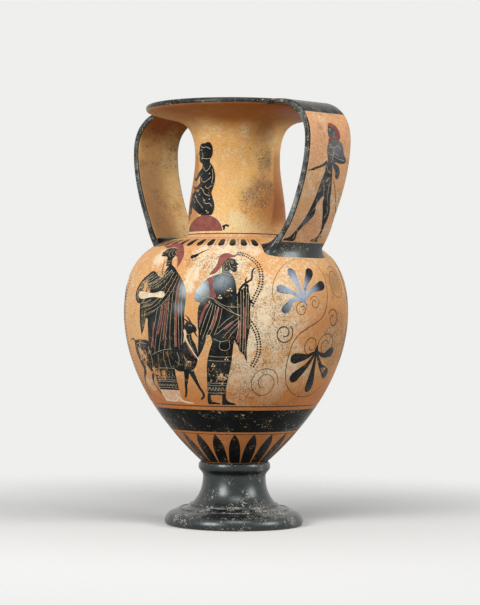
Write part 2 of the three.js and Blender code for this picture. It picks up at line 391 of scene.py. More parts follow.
def slip_material(
    name,
    wear,
    black,
    gray,
    shine,
    under=(),
    worn_at=(),
    sheen_at=(),
    rims=(),
    peel=0.5,
    matt=0.0,
    flecks=0.0,
):
    """Black slip over clay. Its wear is chips, scratches and bloom, with more near some places, and a
    painted sheen of light at others.
    """
    material, w, shader = bare_material(name)
    clay = clay_node(w, 0.5, 0.3, 1.0, under)
    amounts = dict(zip(("Chips", "Scratches", "Bloom"), wear))
    slip = w.add("ShaderNodeGroup", {"node_tree": SLIP}, Place=w.place, Flecks=flecks, **amounts)
    if worn_at:
        more = w.most(w.near_any(worn_at), *[w.times(w.near_ring(*rim), 0.75) for rim in rims])
        w.set(slip, Chips=w.slope(more, peel, wear[0]), Flecks=w.math("ADD", more, flecks, clamp=True))
    dark = w.mix(slip.outputs["Bloom"], linear(black), linear(gray))
    # A pale painted sheen of the lamps, laid at given places.
    for middle, reach, share in sheen_at:
        painted_sheen = w.times(w.near(middle, reach), w.ramp(w.noise(210, 5, 0.75), 0.22, 0.52))
        dark = w.lay(dark, linear(gray), painted_sheen, share)
    left = slip.outputs["Left"]
    gloss = w.math("ADD", slip.outputs["Gloss"], matt)
    rough = w.add("ShaderNodeMix", {"data_type": "FLOAT"}, Factor=left, A=BARE_ROUGHNESS, B=gloss)
    w.set(
        shader,
        Base_Color=w.mix(left, clay.outputs["Color"], dark),
        Roughness=rough.outputs["Result"],
        Specular_IOR_Level=shine,
        Specular_Tint=linear("ECF6F4"),
    )
    relief(w, shader, slip.outputs["Height"], SLIP_DEPTH)
    return material


# %% [markdown]
# ## The turned pieces
# Foot, body and neck were thrown on a wheel, so each is a profile spun round the axis. A profile
# that goes up the outside and down the inside gives the wall its thickness in one spin. The curves
# are cubic, as few points as a template would need, and the same as the solids'.

# %% Profile helpers
TURNS = 192
WALL_STEPS = 56
INSET = 0.2 * MM
SHARP_ANGLE = math.radians(40)
MERGE = 0.001 * MM


def by(x, z, *steps):
    """Points at steps in mm from a corner of the outline."""
    return [(x + across * MM, z + up * MM) for across, up in steps]


def bend(start, start_pull, end_pull, end, steps=WALL_STEPS):
    """Points of a cubic curve in the (radius, height) plane."""
    knots = [Vector((x, z, 0)) for x, z in (start, start_pull, end_pull, end)]
    return [(p.x, p.y) for p in interpolate_bezier(*knots, steps)]


def unit_along(line):
    """A line's direction at each of its points."""
    along = np.gradient(np.array(line), axis=0)
    return along / np.linalg.norm(along, axis=1)[:, None]


def run_along(line):
    """The way along a line to each of its points."""
    step = np.linalg.norm(np.diff(np.array(line), axis=0), axis=1)
    return np.concatenate([[0], np.cumsum(step)])


def beside(line, distance):
    """A line moved to the left of its own direction."""
    along = unit_along(line)
    return [tuple(p) for p in np.array(line) + distance * np.c_[-along[:, 1], along[:, 0]]]


def with_heights(line, heights):
    """The line with a point added at each of these heights, so that a band can end there."""
    x, z = np.array(line).T
    extra = [(float(np.interp(height, z, x)), height) for height in heights]
    return sorted(line + extra, key=lambda point: point[1])


def finished(name, bm, materials):
    """Turns a bmesh into an object at the origin, smooth except at sharp edges, riding on the pot."""
    mesh = bpy.data.meshes.new(name)
    bm.to_mesh(mesh)
    bm.free()
    for material in materials:
        mesh.materials.append(material)
    mesh.shade_smooth()
    mesh.set_sharp_from_angle(angle=SHARP_ANGLE)
    piece = bpy.data.objects.new(name, mesh)
    bpy.context.collection.objects.link(piece)
    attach(piece, "root")
    print(name, "has", len(mesh.polygons), "faces")
    return piece


def spun(profile):
    """A bmesh of a (radius, height) profile spun round the axis, closed and facing out."""
    bm = bmesh.new()
    loop = [bm.verts.new((x, 0, z)) for x, z in profile]
    ends_on_axis = profile[0][0] == 0 and profile[-1][0] == 0
    closing = [] if ends_on_axis else loop[:1]
    edges = [bm.edges.new(pair) for pair in zip(loop, loop[1:] + closing)]
    axis = {"cent": (0, 0, 0), "axis": (0, 0, 1)}
    bmesh.ops.spin(bm, geom=loop + edges, angle=TURN, steps=TURNS, use_merge=True, **axis)
    bmesh.ops.remove_doubles(bm, verts=bm.verts, dist=MERGE)
    bmesh.ops.recalc_face_normals(bm, faces=bm.faces)
    return bm


def ring_slot(bm, slot, low, high, side=1):
    """Gives a material slot to the faces between two heights that look out (1), in (-1) or both (0)."""
    for face in bm.faces:
        centre = face.calc_center_median()
        outward = Vector((centre.x, centre.y, 0)).dot(face.normal)
        if low < centre.z < high and outward * side >= 0:
            face.material_index = slot


# %% [markdown]
# ### Finishes of the big pieces
# The body's clay is the brightest, with painted shade towards the foot and on its right side. The
# neck is more golden, with a grey-brown stain and painted shade low on its right side, and painted
# shade under the mouth. The inside is plain. The foot's slip is the best kept, with chips along its edges.

# %% Body and neck clay
CRUSTED_SPOTS = [
    ((72, -42, 150), 62),
    ((62, -42, 110), 40),
    ((-60, 50, 130), 60),
    ((46, -52, 192), 34),
    ((76, 30, 135), 36),
]
RUBBED_SPOTS = [
    ((-1, -70, 194), 12),
    ((-17, -68, 105), 12),
    ((34.5, -67, 190), 8),
    ((33, -71, 183), 9),
    ((32, -74, 175), 9),
]
GRAY_SPOTS = [((31, 1, 268), 16), ((32, -4, 252), 17), ((32, -12, 240), 20)]
BODY_TONES = {"Base": "E9B070", "Warm": "D69257", "Crust": "F4E3C4", "Stain": "94693E"}
NECK_TONES = {"Base": "F2BE70", "Warm": "E0A35A", "Crust": "F4E0AE", "Stain": "9C7E5C"}
HANDLE_TONES = {"Base": "E2A676", "Warm": "D39266", "Crust": "EDD0AC", "Stain": "946A44"}
INNER_TONES = {"Base": "F2C47C", "Warm": "DFA560", "Crust": "F4D69A", "Stain": "95703F"}


def body_material():
    """The body's clay: crusted and pitted right of the figures, darker towards the foot (partly deeper
    orange clay, partly painted shade) and with painted shade on its right side.
    """
    material, w, shader = bare_material("body_clay")
    patch = w.near_any(CRUSTED_SPOTS)
    crusted = w.most(w.times(patch, 0.5), w.times(w.near_any(RUBBED_SPOTS), 0.75))
    crust = w.math("ADD", crusted, 0.34)
    stain = w.slope(w.near((76, 30, 180), 20), 0.7, 0.3)
    clay = clay_node(w, crust, stain, w.slope(patch, 1.1, 0.4), BODY_TONES)
    # Darker towards the foot: partly the clay's deeper orange, partly painted shade.
    low = w.times(w.ramp(w.axes()["Z"], 122 * MM, 92 * MM), 0.8)
    tone = w.tint(low, clay.outputs["Color"], "DDAA7C")
    # Painted shade on the belly's right side, by the handle.
    clay_surface(w, shader, clay, w.tint(w.near((74, 32, 140), 66), tone, "D9BFA6"))
    return material


def redder_shaded_side(w, axes):
    """A mask for the sides of the neck that the handles shade, with a slanting edge. There the clay is
    painted redder and darker: partly its own colour, partly painted shade.
    """
    reach = w.off_axis()
    backward = w.math("DIVIDE", w.times(axes["X"], axes["Y"]), w.times(reach, reach))
    edge = w.slope(w.less(axes["Z"], 273 * MM), 4.8, 0.265)
    edge = w.slope(w.noise(60), 0.12, w.less(edge, 0.06))
    red = w.ramp(w.less(backward, edge), -0.02, 0.06)
    for start, full in ((279, 270), (217, 228)):
        red = w.times(red, w.ramp(axes["Z"], start * MM, full * MM))
    return red


def neck_material():
    """The neck's clay: golden, redder and darker on the sides that the handles shade (partly as painted
    shade), with painted shade low on the right and painted brown shade under the mouth.
    """
    material, w, shader = bare_material("neck_clay")
    axes = w.axes()
    gray = w.near_any(GRAY_SPOTS)
    pale = w.times(w.ramp(axes["Z"], 228 * MM, 216 * MM), 0.6)
    crust = w.slope(w.most(pale, w.near((26, -23, 224), 12)), 0.5, 0.34)
    clay = clay_node(w, crust, w.slope(gray, 0.75, 0.25), w.slope(gray, 1.1, 0.4), NECK_TONES)
    # The sides under the handles are redder and darker: partly the clay's own colour, partly painted shade
    # from the handles.
    tone = w.lay(clay.outputs["Color"], linear("AC6740"), redder_shaded_side(w, axes), 0.62)
    # Painted shade low on the right side of the neck, beside the handle.
    tone = w.tint(w.near((34, 5, 236), 34), tone, "CAA892")
    # Painted brown shade under the mouth and on the right under the lip, with less of it on the left.
    level = w.slope(w.noise(55, 4), 14 * MM, axes["Z"])
    under = w.most(w.ramp(level, 293 * MM, 311 * MM), w.near((43, -8, 292), 23))
    spared = w.slope(w.near((-40, -44, 298), 42), -0.75, 1.0)
    clay_surface(w, shader, clay, w.tint(w.times(w.times(under, 0.85), spared), tone, "B07430"))
    return material


body_clay = body_material()
neck_clay = neck_material()

# %% [markdown]
# ### Finishes of the handles and the foot
# A handle's outer face is plain clay. Its inner face is paler, with painted shade on one side low down and
# painted brown shade where it meets the mouth.
# Slips differ in how much of them is chipped, scratched and clouded, and in what shows through.

# %% Handle clay and big slips


def outer_material():
    """The clay of the handle's outer face."""
    material, w, shader = bare_material("handle_clay")
    clay = clay_node(w, 0.36, 0.3, 0.6, HANDLE_TONES)
    clay_surface(w, shader, clay, clay.outputs["Color"])
    return material


def inner_material():
    """The handle's inner face: pale gold and paler on its lit side, with painted shade on the other side
    low down and painted brown shade where it meets the mouth.
    """
    material, w, shader = bare_material("handle_inner_clay")
    axes = w.axes()
    # One side of the inner face is lit: it stays plain and carries more pale crust. The other side gets
    # painted shade low down.
    side = w.slope(w.noise(90, at=w.scaled(1, 1, 0.25)), 8 * MM, axes["Y"])
    bright = w.ramp(side, -4 * MM, 14 * MM)
    clay = clay_node(w, w.slope(bright, 0.4, 0.3), 0.35, 0.7, INNER_TONES)
    plain = clay.outputs["Color"]
    shade_tone = w.mix(0.45, plain, linear("A5836A"))
    shaded = w.times(w.less(1.0, bright), w.ramp(axes["Z"], 285 * MM, 265 * MM))
    # Painted brown shade where the face meets the mouth.
    level = w.slope(w.noise(60, 4), 16 * MM, axes["Z"])
    mouth_shade = w.ramp(level, 291 * MM, 312 * MM)
    clay_surface(w, shader, clay, w.tint(mouth_shade, w.mix(shaded, plain, shade_tone), "B0793A"))
    return material


handle_clay = outer_material()
inner_clay = inner_material()
WHITE_UNDER = {"Base": "E6E2D4", "Warm": "D6CCB8", "Crust": "F2F0E8", "Stain": "B9A98E", "Gold": "DCC8A6"}
PALE_UNDER = {"Base": "CDB68E", "Warm": "B98E60", "Crust": "E6DDC2"}
FOOT_CHIPS = [
    ((34, -18, 15), 16),
    ((37, -5, 15), 28),
    ((40, 8, 13), 26),
    ((-8, -47, 7), 15),
    ((50, 14, 6), 16),
    ((26, 3, 43), 12),
    ((-40, 10, 14), 20),
    ((8, -34, 14), 12),
    ((24, -24, 17), 14),
]
FOOT_RIMS = [(41, 12.2, 3), (32.2, 15.6, 4), (26.6, 46, 5), (48, 9, 6)]
foot_slip = slip_material(
    "foot_slip",
    (0.12, 0.7, 0.42),
    "0A0E10",
    "2A3234",
    0.7,
    WHITE_UNDER,
    worn_at=FOOT_CHIPS,
    rims=FOOT_RIMS,
    peel=0.1,
    matt=0.02,
)
pad_slip = slip_material("pad_slip", (0.12, 0.7, 0.3), "08090B", "2A3034", 0.6, PALE_UNDER, flecks=0.16)
band_slip = slip_material("band_slip", (0.12, 1.0, 0.02), "080908", "8A9499", 0.08, PALE_UNDER)
edge_slip = slip_material("edge_slip", (0.3, 1.0, 0.25), "0F1212", "8F948D", 0.2, PALE_UNDER, flecks=0.38)
# The middle of each strap side: slip rubbed pale, with a painted highlight in its heavy pale grey bloom.
rubbed_highlight_slip = slip_material(
    "rubbed_highlight_slip", (0.4, 1.0, 0.85), "1A1F20", "9AA6A6", 0.25, PALE_UNDER, flecks=0.74
)
brown_slip = slip_material("brown_slip", (0.3, 0.2, 0.15), "4A2C16", "8A5E36", 0.25)

# %% [markdown]
# ### Foot and collar
# The foot is a torus-edged disc, two small ridges, a flare and a stem. The hollow under it keeps it
# from cracking in the kiln. The collar is a roll of clay wrapped round the joint of stem and body.

# %% Foot
foot_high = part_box("foot")[1]
collar_low, collar_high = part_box("foot_collar")
DISC_RADIUS = foot_high.x
STEM_RADIUS = 23.2 * MM
STEM_TOP = collar_low.z
STEP_RADIUS = 41.2 * MM
RIDGE_RADIUS = 32.6 * MM
HOLLOW_HEIGHT = 26 * MM
HOLLOW_RADIUS = 44 * MM


def foot_profile():
    """From the middle of the hollow, out over the disc's edge and up the stem, back to the axis."""
    hollow = bend(*by(0, 0, (0, 25), (16, 17), (30, 7), (43.6, 0.4)), 16)
    rest = [(HOLLOW_RADIUS, 0), (DISC_RADIUS - 2 * MM, 0)]
    edge = bend(*by(DISC_RADIUS, 0, (-1.4, 0.35), (0.45, 1.9), (-0.4, 7.6), (-5.4, 9.8)), 16)
    step = by(STEP_RADIUS, 0, (0.8, 11.5), (0.2, 11.55), (-0.1, 12.2), (-0.7, 12.55), (-1.4, 12.4))
    step += by(STEP_RADIUS, 0, (-1.9, 11.9), (-4.6, 12.6))
    ridge = by(RIDGE_RADIUS, 0, (0.9, 14), (0.5, 15), (0, 15.6), (-0.7, 15.6), (-1.0, 15.3))
    flare_start = by(RIDGE_RADIUS, 0, (-1.3, 15.7), (-6.2, 20.4))
    flare = bend(*flare_start, *by(STEM_RADIUS, STEM_TOP, (0, -10), (0, 1.5)), 40)
    return hollow + rest + edge + step + ridge + flare + [(0, STEM_TOP + 1.5 * MM)]


foot_bm = spun(foot_profile())
ring_slot(foot_bm, 1, -0.1 * MM, 0.3 * MM, 0)
for face in foot_bm.faces:
    spot = face.calc_center_median()
    if spot.z < HOLLOW_HEIGHT and math.hypot(spot.x, spot.y) < HOLLOW_RADIUS and face.normal.z < 0:
        face.material_index = 1
foot = finished("foot_turned", foot_bm, [foot_slip, body_clay])
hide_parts("foot")

# %% Collar
COLLAR_RADIUS = 26.7 * MM
COLLAR_TOP_RADIUS = 25.3 * MM
COLLAR_CORE = 18 * MM


def collar_profile():
    """A rolled fillet, fullest near its top and drawn in to the stem below."""
    under = by(STEM_RADIUS, collar_low.z, (0.1, 0), (0.4, 3.0))
    full_low, full = by(COLLAR_RADIUS, collar_low.z, (0, 3.8), (0, 6.6))
    full_high = (COLLAR_RADIUS, collar_high.z - 1.6 * MM)
    over = by(COLLAR_TOP_RADIUS, collar_high.z, (0.8, 0), (-0.9, 0))
    outside = bend(*under, full_low, full, 14) + bend(full, full_high, *over, 12)[1:]
    return [(COLLAR_CORE, collar_low.z)] + outside + [(COLLAR_CORE, collar_high.z)]


collar = finished("collar_turned", spun(collar_profile()), [foot_slip])
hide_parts("foot_collar")

# %% [markdown]
# ### Body
# The body is an egg with its widest point above the middle. The bands near its base were painted
# while it turned on the wheel, so they are rings of faces with the slip's material: the profile
# has a point exactly where each ring starts and ends.

# %% Body
body_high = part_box("body")[1]
BODY_BOTTOM = collar_high.z
BELLY_RADIUS = body_high.y - INSET
BELLY_HEIGHT = BODY_BOTTOM + 110.8 * MM
SHOULDER_TOP = body_high.z
SHOULDER_TOP_RADIUS = 37.1 * MM
BODY_BOTTOM_RADIUS = 24.4 * MM
BODY_WALL = 5 * MM
THROAT_RADIUS = SHOULDER_TOP_RADIUS - BODY_WALL
GROUND_LINE = (89.7 * MM, 90.5 * MM)
BLACK_BAND = (70.9 * MM, 87.3 * MM)
RAY_LINE = (69.0 * MM, 69.5 * MM)

bottom_knots = by(BODY_BOTTOM_RADIUS, BODY_BOTTOM, (0, 0), (19.4, 17.6))
lower_wall = bend(*bottom_knots, *by(BELLY_RADIUS, BELLY_HEIGHT, (0, -52.2), (0, 0)))
shoulder_knots = by(BELLY_RADIUS, BELLY_HEIGHT, (0, 0), (0, 40.8))
shoulder_knots += by(SHOULDER_TOP_RADIUS, SHOULDER_TOP, (25.9, -2), (0, 0))
shoulder_wall = bend(*shoulder_knots)
body_line = lower_wall + shoulder_wall[1:]


def body_profile():
    """Up the outside, over the throat and down the inside to the floor."""
    outside = with_heights(body_line, [*GROUND_LINE, *BLACK_BAND, *RAY_LINE])
    floor = BODY_BOTTOM + 6 * MM
    bottom = BODY_BOTTOM - 3 * MM
    wall = beside(body_line, BODY_WALL)[::3]
    inside = [(x, z) for x, z in wall if z > floor and x > THROAT_RADIUS]
    start = [(0, bottom), (BODY_BOTTOM_RADIUS - 2 * MM, bottom)]
    end = [(inside[0][0] * HALF_WAY, floor), (0, floor)]
    return start + outside + [(THROAT_RADIUS, SHOULDER_TOP)] + inside[::-1] + end


body_bm = spun(body_profile())
ring_slot(body_bm, 1, *BLACK_BAND)
ring_slot(body_bm, 2, *GROUND_LINE)
ring_slot(body_bm, 2, *RAY_LINE)
body = finished("body_turned", body_bm, [body_clay, band_slip, brown_slip])
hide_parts("body")

# %% [markdown]
# ### Neck, mouth and neck ring
# The neck narrows to a waist and opens into a wide flaring mouth with a squared lip. The lip is
# black all round, over its edge and into the mouth. A thin ring of clay hides the joint at the
# shoulder.

# %% Neck and mouth
neck_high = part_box("neck_and_mouth")[1]
ring_low, ring_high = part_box("neck_ring")
LIP_RADIUS = 68.6 * MM
LIP_TOP = neck_high.z
LIP_UNDER = LIP_TOP - 5.7 * MM
NECK_BASE = ring_high.z
NECK_BASE_RADIUS = 36 * MM
WAIST_RADIUS = 31.5 * MM
WAIST_HEIGHT = NECK_BASE + 55 * MM
NECK_WALL = 4.6 * MM
NECK_LINE_HEIGHT = (ring_low.z + 2.1 * MM, ring_low.z + 2.8 * MM)

base_knots = by(NECK_BASE_RADIUS, NECK_BASE, (0, 0), (2.2, 19.6))
neck_wall = bend(*base_knots, *by(WAIST_RADIUS, WAIST_HEIGHT, (0, -16.2), (0, 0)))
waist_knots = by(WAIST_RADIUS, WAIST_HEIGHT, (0, 0), (0, 34.9))
mouth_wall = bend(*waist_knots, *by(LIP_RADIUS, LIP_UNDER, (-19.8, -6.6), (-0.9, 1.3)))
neck_line = neck_wall + mouth_wall[1:]


def neck_profile():
    """Up the outside of the neck, round the lip and down the inside."""
    seat = [(NECK_BASE_RADIUS - 0.2 * MM, SHOULDER_TOP)] + by(NECK_BASE_RADIUS, NECK_BASE, (-0.1, -1))
    outside = with_heights(seat + neck_wall, NECK_LINE_HEIGHT) + mouth_wall[1:]
    low_knots = by(LIP_RADIUS, LIP_UNDER, (-0.5, 1.8), (0.2, 2.6))
    lip = bend(*low_knots, *by(LIP_RADIUS, LIP_TOP, (0.2, -0.6), (-1.6, -0.05)), 14)
    lip = [(min(x, LIP_RADIUS), z) for x, z in lip]
    lip += by(LIP_RADIUS, LIP_TOP, (-3, 0), (-4.6, -0.1), (-5.6, -0.8))
    (inside_limit, throat_bottom), = by(LIP_RADIUS, NECK_BASE, (-6.6, 4))
    wall = beside(neck_line, NECK_WALL)[::2]
    inside = [(x, z) for x, z in wall if x < inside_limit and z > throat_bottom]
    return [(THROAT_RADIUS, SHOULDER_TOP)] + outside + lip + inside[::-1]


neck_bm = spun(neck_profile())
ring_slot(neck_bm, 1, LIP_UNDER + 2.0 * MM, LIP_TOP + 1 * MM, 0)
ring_slot(neck_bm, 1, WAIST_HEIGHT, LIP_TOP, -1)
ring_slot(neck_bm, 2, *NECK_LINE_HEIGHT)
neck = finished("neck_and_mouth_turned", neck_bm, [neck_clay, edge_slip, brown_slip])
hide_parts("neck_and_mouth")

# %% Neck ring
RING_RADIUS = 37.6 * MM


def ring_profile():
    """A soft half-round ridge that runs into the shoulder and the neck."""
    bottom, top = ring_low.z - 0.3 * MM, ring_low.z + 2.1 * MM
    core = NECK_BASE_RADIUS - 1.5 * MM
    low_knots = by(RING_RADIUS, ring_low.z, (0, -0.3), (0, 1.2))
    top_knots = [(RING_RADIUS - 0.2 * MM, top - 0.1 * MM), (NECK_BASE_RADIUS - 0.4 * MM, top)]
    return [(core, bottom)] + bend(*low_knots, *top_knots, 12) + [(core, top)]


ring = finished("neck_ring_turned", spun(ring_profile()), [handle_clay])
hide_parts("neck_ring")

# %% [markdown]
# ## Walls to paint on
# A painter draws on the wall itself. The lesson draws flat, in a plane whose sideways axis is the
# way round the pot and whose upward axis is the way up the wall, and then wraps that plane on the
# piece. A wall object knows, for each run up the wall, its radius, height and outward direction.

# %% Wall class


def looked_up(at, run, rows):
    """The value of each row at a place along a run."""
    return [float(np.interp(at, run, row)) for row in rows]


class Wall:
    """A turned wall: a flat spot (way round, way up) becomes a place on the surface."""

    def __init__(self, line, drawn_radius):
        radius, height = np.array(line).T
        along = unit_along(line)
        self.run = run_along(line)
        self.height = height
        self.rows = (radius, height, along[:, 1], -along[:, 0])
        self.drawn_radius = drawn_radius

    def flat(self, degrees, millimetres):
        """A flat spot from an angle round the pot, from the front, and a height."""
        run = float(np.interp(millimetres * MM, self.height, self.run))
        return math.radians(degrees) * self.drawn_radius, run

    def place(self, across, run, lift):
        radius, height, out, up = looked_up(run, self.run, self.rows)
        turn = across / self.drawn_radius
        reach = radius + out * lift
        return Vector((reach * math.sin(turn), -reach * math.cos(turn), height + up * lift))


body_face = Wall(body_line, 78 * MM)
neck_face = Wall(neck_line, 34 * MM)
print("way up the body wall in mm:", round(body_face.run[-1] / MM))

# %% [markdown]
# ## Handles
# Each handle is a broad strap of clay, pulled flat, that springs level from the lip, bends over and
# falls to the shoulder. It could be a curve with a bevel, but its width changes at both ends, so a
# rounded section is extruded from station to station along the side line. Its outer face is
# reserved for painting, its edges and top are black.

# %% Strap side line
STRAP_HALF_WIDTH = 21.1 * MM
STRAP_THICKNESS = 5.7 * MM
STRAP_EDGE = 2.1 * MM
LIP_DEPTH = 3.5 * MM
STRAP_TOP = LIP_TOP - 0.35 * MM
STRAP_REACH = cad_high.x - INSET
BEND_HEIGHT = LIP_TOP - 29.9 * MM
ROOT_SHARE = 0.58
ROOT_SPREAD = 32 * MM
LIP_SPREAD = 12 * MM
DEPTH_RUN = 20 * MM
FLAT_STEPS = 8
CORNER = [math.radians(a) for a in (22.5, 45, 67.5, 90)]


def cubic_at(share, points):
    """The point at a share of a cubic curve's parameter."""
    a, b, c, d = (np.array(p) for p in points)
    rest = 1 - share
    return rest**3 * a + 3 * rest**2 * share * b + 3 * rest * share**2 * c + share**3 * d


root_radius, root_height = cubic_at(ROOT_SHARE, shoulder_knots)
STRAP_END = (root_radius + 0.6 * MM, root_height - 7 * MM)

top_knots = by(LIP_RADIUS, STRAP_TOP, (0, 0), (5, 0))
strap_over = bend(*top_knots, *by(STRAP_REACH, BEND_HEIGHT, (0, 26), (0, 0)), 40)
side_knots = by(STRAP_REACH, BEND_HEIGHT, (0, 0), (0, -36.5))
strap_down = bend(*side_knots, *by(*STRAP_END, (2.4, 7), (0, 0)), 56)
strap_line = by(LIP_RADIUS, STRAP_TOP, (-7, -1.1), (-3.5, 0)) + strap_over + strap_down[1:]


def limited(share):
    return min(max(share, 0.0), 1.0)


def eased(share):
    return share * share * (3 - 2 * share)


def down_to_root(z):
    """0 where the strap starts to spread above its root, 1 at its end."""
    return limited((STRAP_END[1] + ROOT_SPREAD - z) / ROOT_SPREAD)


def root_share(z):
    """How far the strap has turned to lie along the shoulder, from 0 to 1."""
    return eased(down_to_root(z))


def strap_width(x, z):
    """Half the strap's width at a place on its side line: it spreads at the lip and at the root."""
    at_lip = max(0.0, 1 - (x - LIP_RADIUS + 5 * MM) / LIP_SPREAD) if z > BEND_HEIGHT else 0.0
    return STRAP_HALF_WIDTH + 5.5 * MM * at_lip**2 + 4.2 * MM * down_to_root(z) ** 4


def strap_depth(x, z):
    """The strap's thickness at a place on its side line: it starts as thin as the lip's black edge."""
    share = limited((x - LIP_RADIUS) / DEPTH_RUN) if z > BEND_HEIGHT else 1.0
    return LIP_DEPTH + (STRAP_THICKNESS - LIP_DEPTH) * eased(share)


def strap_section(half_width, depth):
    """The strap's rounded section: (sideways, inwards) points, first its outer face."""
    edge = STRAP_EDGE * depth / STRAP_THICKNESS
    flat = half_width - edge
    outer = [(flat * s / FLAT_STEPS, 0.0) for s in range(-FLAT_STEPS, FLAT_STEPS + 1)]
    near = [(flat + edge * math.sin(a), edge * (1 - math.cos(a))) for a in CORNER]
    far = [(flat + edge * math.cos(a), depth - edge * (1 - math.sin(a))) for a in CORNER]
    inner = [(flat * s / FLAT_STEPS, depth) for s in range(FLAT_STEPS - 1, -FLAT_STEPS, -1)]
    left_far = [(-x, n) for x, n in [(flat, depth)] + far[-2::-1]]
    left_near = [(-x, n) for x, n in [(half_width, edge)] + near[-2::-1]]
    return outer + near + far + inner + left_far + left_near


def round_axis(spot, share):
    """Turns a spot round the pot's axis by the angle that its sideways reach spans at the root."""
    turn = share * spot.y / root_radius
    return Vector((spot.x * math.cos(turn), (1 - share) * spot.y + spot.x * math.sin(turn), spot.z))


# %% Loft the straps
strap_along = unit_along(strap_line)
BLACK_TOP = 299.4 * MM
BLACK_ROOT = 207 * MM
STRAP_FINISHES = [handle_clay, edge_slip, inner_clay, pad_slip, rubbed_highlight_slip]
SIDES = {"right": 0, "left": math.pi}


def loop_edges(bm, verts):
    """The edges round a ring of points, made where they are missing."""
    return [bm.edges.get(pair) or bm.edges.new(pair) for pair in zip(verts, verts[1:] + verts[:1])]


def capped(bm, rings):
    """Closes a tube of rings at both ends and turns its faces out."""
    bmesh.ops.contextual_create(bm, geom=rings[0])
    bmesh.ops.contextual_create(bm, geom=rings[-1])
    bmesh.ops.recalc_face_normals(bm, faces=bm.faces)
    return bm


def turned(bm, angle):
    """Turns a bmesh round the pot's axis."""
    bmesh.ops.rotate(bm, verts=bm.verts, cent=(0, 0, 0), matrix=Matrix.Rotation(angle, 3, "Z"))
    return bm


def strap_finish(spot, normal):
    """Black on the strap's edges and on its top, down to where the picture starts."""
    sideways = abs(normal.y)
    on_top = spot.x < LIP_RADIUS - 5 * MM or (normal.x > -0.2 and normal.z > -0.2)
    if spot.z < BLACK_ROOT:
        return pad_slip
    # The middle of each side edge takes the rubbed slip with its painted highlight.
    if sideways > 0.8:
        return rubbed_highlight_slip
    if sideways > 0.3 or (spot.z > BLACK_TOP and on_top):
        return edge_slip
    return inner_clay if normal.x < -0.2 or normal.z < -0.6 else handle_clay


def strap_bmesh():
    """The right strap: a section extruded along the side line, closed at both hidden ends."""
    bm = bmesh.new()
    rings = [[bm.verts.new((0, 0, 0)) for _ in strap_section(STRAP_HALF_WIDTH, STRAP_THICKNESS)]]
    edges = loop_edges(bm, rings[0])
    for _ in strap_line[1:]:
        made = bmesh.ops.extrude_edge_only(bm, edges=edges)["geom"]
        edges = [part for part in made if isinstance(part, bmesh.types.BMEdge)]
        new = {vert for edge in edges for vert in edge.verts}
        neighbours = [[edge.other_vert(vert) for edge in vert.link_edges] for vert in rings[-1]]
        rings.append([next(vert for vert in others if vert in new) for others in neighbours])
    for verts, (x, z), (ax, az) in zip(rings, strap_line, strap_along):
        section = strap_section(strap_width(x, z), strap_depth(x, z))
        for vert, (sideways, inwards) in zip(verts, section):
            spot = Vector((x + az * inwards, sideways, z - ax * inwards))
            vert.co = round_axis(spot, root_share(z))
    capped(bm, rings)
    for face in bm.faces:
        finish = strap_finish(face.calc_center_median(), face.normal)
        face.material_index = STRAP_FINISHES.index(finish)
    return bm


for side, turn in SIDES.items():
    strap = finished(f"handle_{side}_strap", turned(strap_bmesh(), turn), STRAP_FINISHES)
    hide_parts(f"handle_{side}")

# %% [markdown]
# ### Root pads
# The potter smeared soft clay round the foot of each strap, so the strap runs into the shoulder in
# a hollow curve. Rings are laid on the wall round the strap's foot, wide and low at the rim and
# narrow and high at the strap, and bridged into a skirt.

# %% Root pads
shoulder_heights = [z for x, z in shoulder_wall]
root_run = float(np.interp(root_height, shoulder_heights, body_face.run[WALL_STEPS - 1 :]))
# Each ring's height above the wall and its spread, in mm, and how square it is.
PAD_RINGS = (
    (-1.2, 8.8, 5.0),
    (-0.4, 8.4, 5.0),
    (0.2, 7.0, 4.6),
    (1.0, 5.4, 4.2),
    (2.2, 3.8, 3.8),
    (3.8, 2.4, 3.4),
    (5.6, 1.3, 3.2),
    (7.4, 0.5, 3.0),
    (8.8, 0.0, 3.0),
    (9.6, -1.0, 3.0),
)
PAD_POINTS = 72
PAD_LEAN = 0.28
PAD_FULL_WRAP = 5 * MM
FOOT_HALF_WIDTH = 21.9 * MM
FOOT_HALF_DEPTH = 3.0 * MM


def pad_ring(bm, height, spread, squareness):
    """A ring of points round the strap's foot, lying above the shoulder at a height."""
    verts = []
    lifted = limited(height / PAD_FULL_WRAP)
    for i in range(PAD_POINTS):
        angle = TURN * i / PAD_POINTS
        c, s = math.cos(angle), math.sin(angle)
        size = (abs(c) ** squareness + abs(s) ** squareness) ** (-1 / squareness)
        across = (FOOT_HALF_WIDTH + spread) * size * c
        along = (FOOT_HALF_DEPTH + 0.8 * spread) * size * s + PAD_LEAN * height
        beside_pot = body_face.place(0, root_run + along, height)
        spot = Vector((-beside_pot.y, across, beside_pot.z))
        share = (1 - lifted) + lifted * root_share(spot.z)
        verts.append(bm.verts.new(round_axis(spot, share)))
    return verts


def pad_bmesh():
    """The skirt, closed inside the strap above and inside the wall below."""
    bm = bmesh.new()
    rings = [pad_ring(bm, height * MM, spread * MM, square) for height, spread, square in PAD_RINGS]
    for upper, under in zip(rings, rings[1:]):
        bmesh.ops.bridge_loops(bm, edges=loop_edges(bm, upper) + loop_edges(bm, under))
    return capped(bm, rings)


for side, turn in SIDES.items():
    pad = finished(f"handle_root_{side}_pad", turned(pad_bmesh(), turn), [pad_slip])
    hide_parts(f"handle_root_{side}")

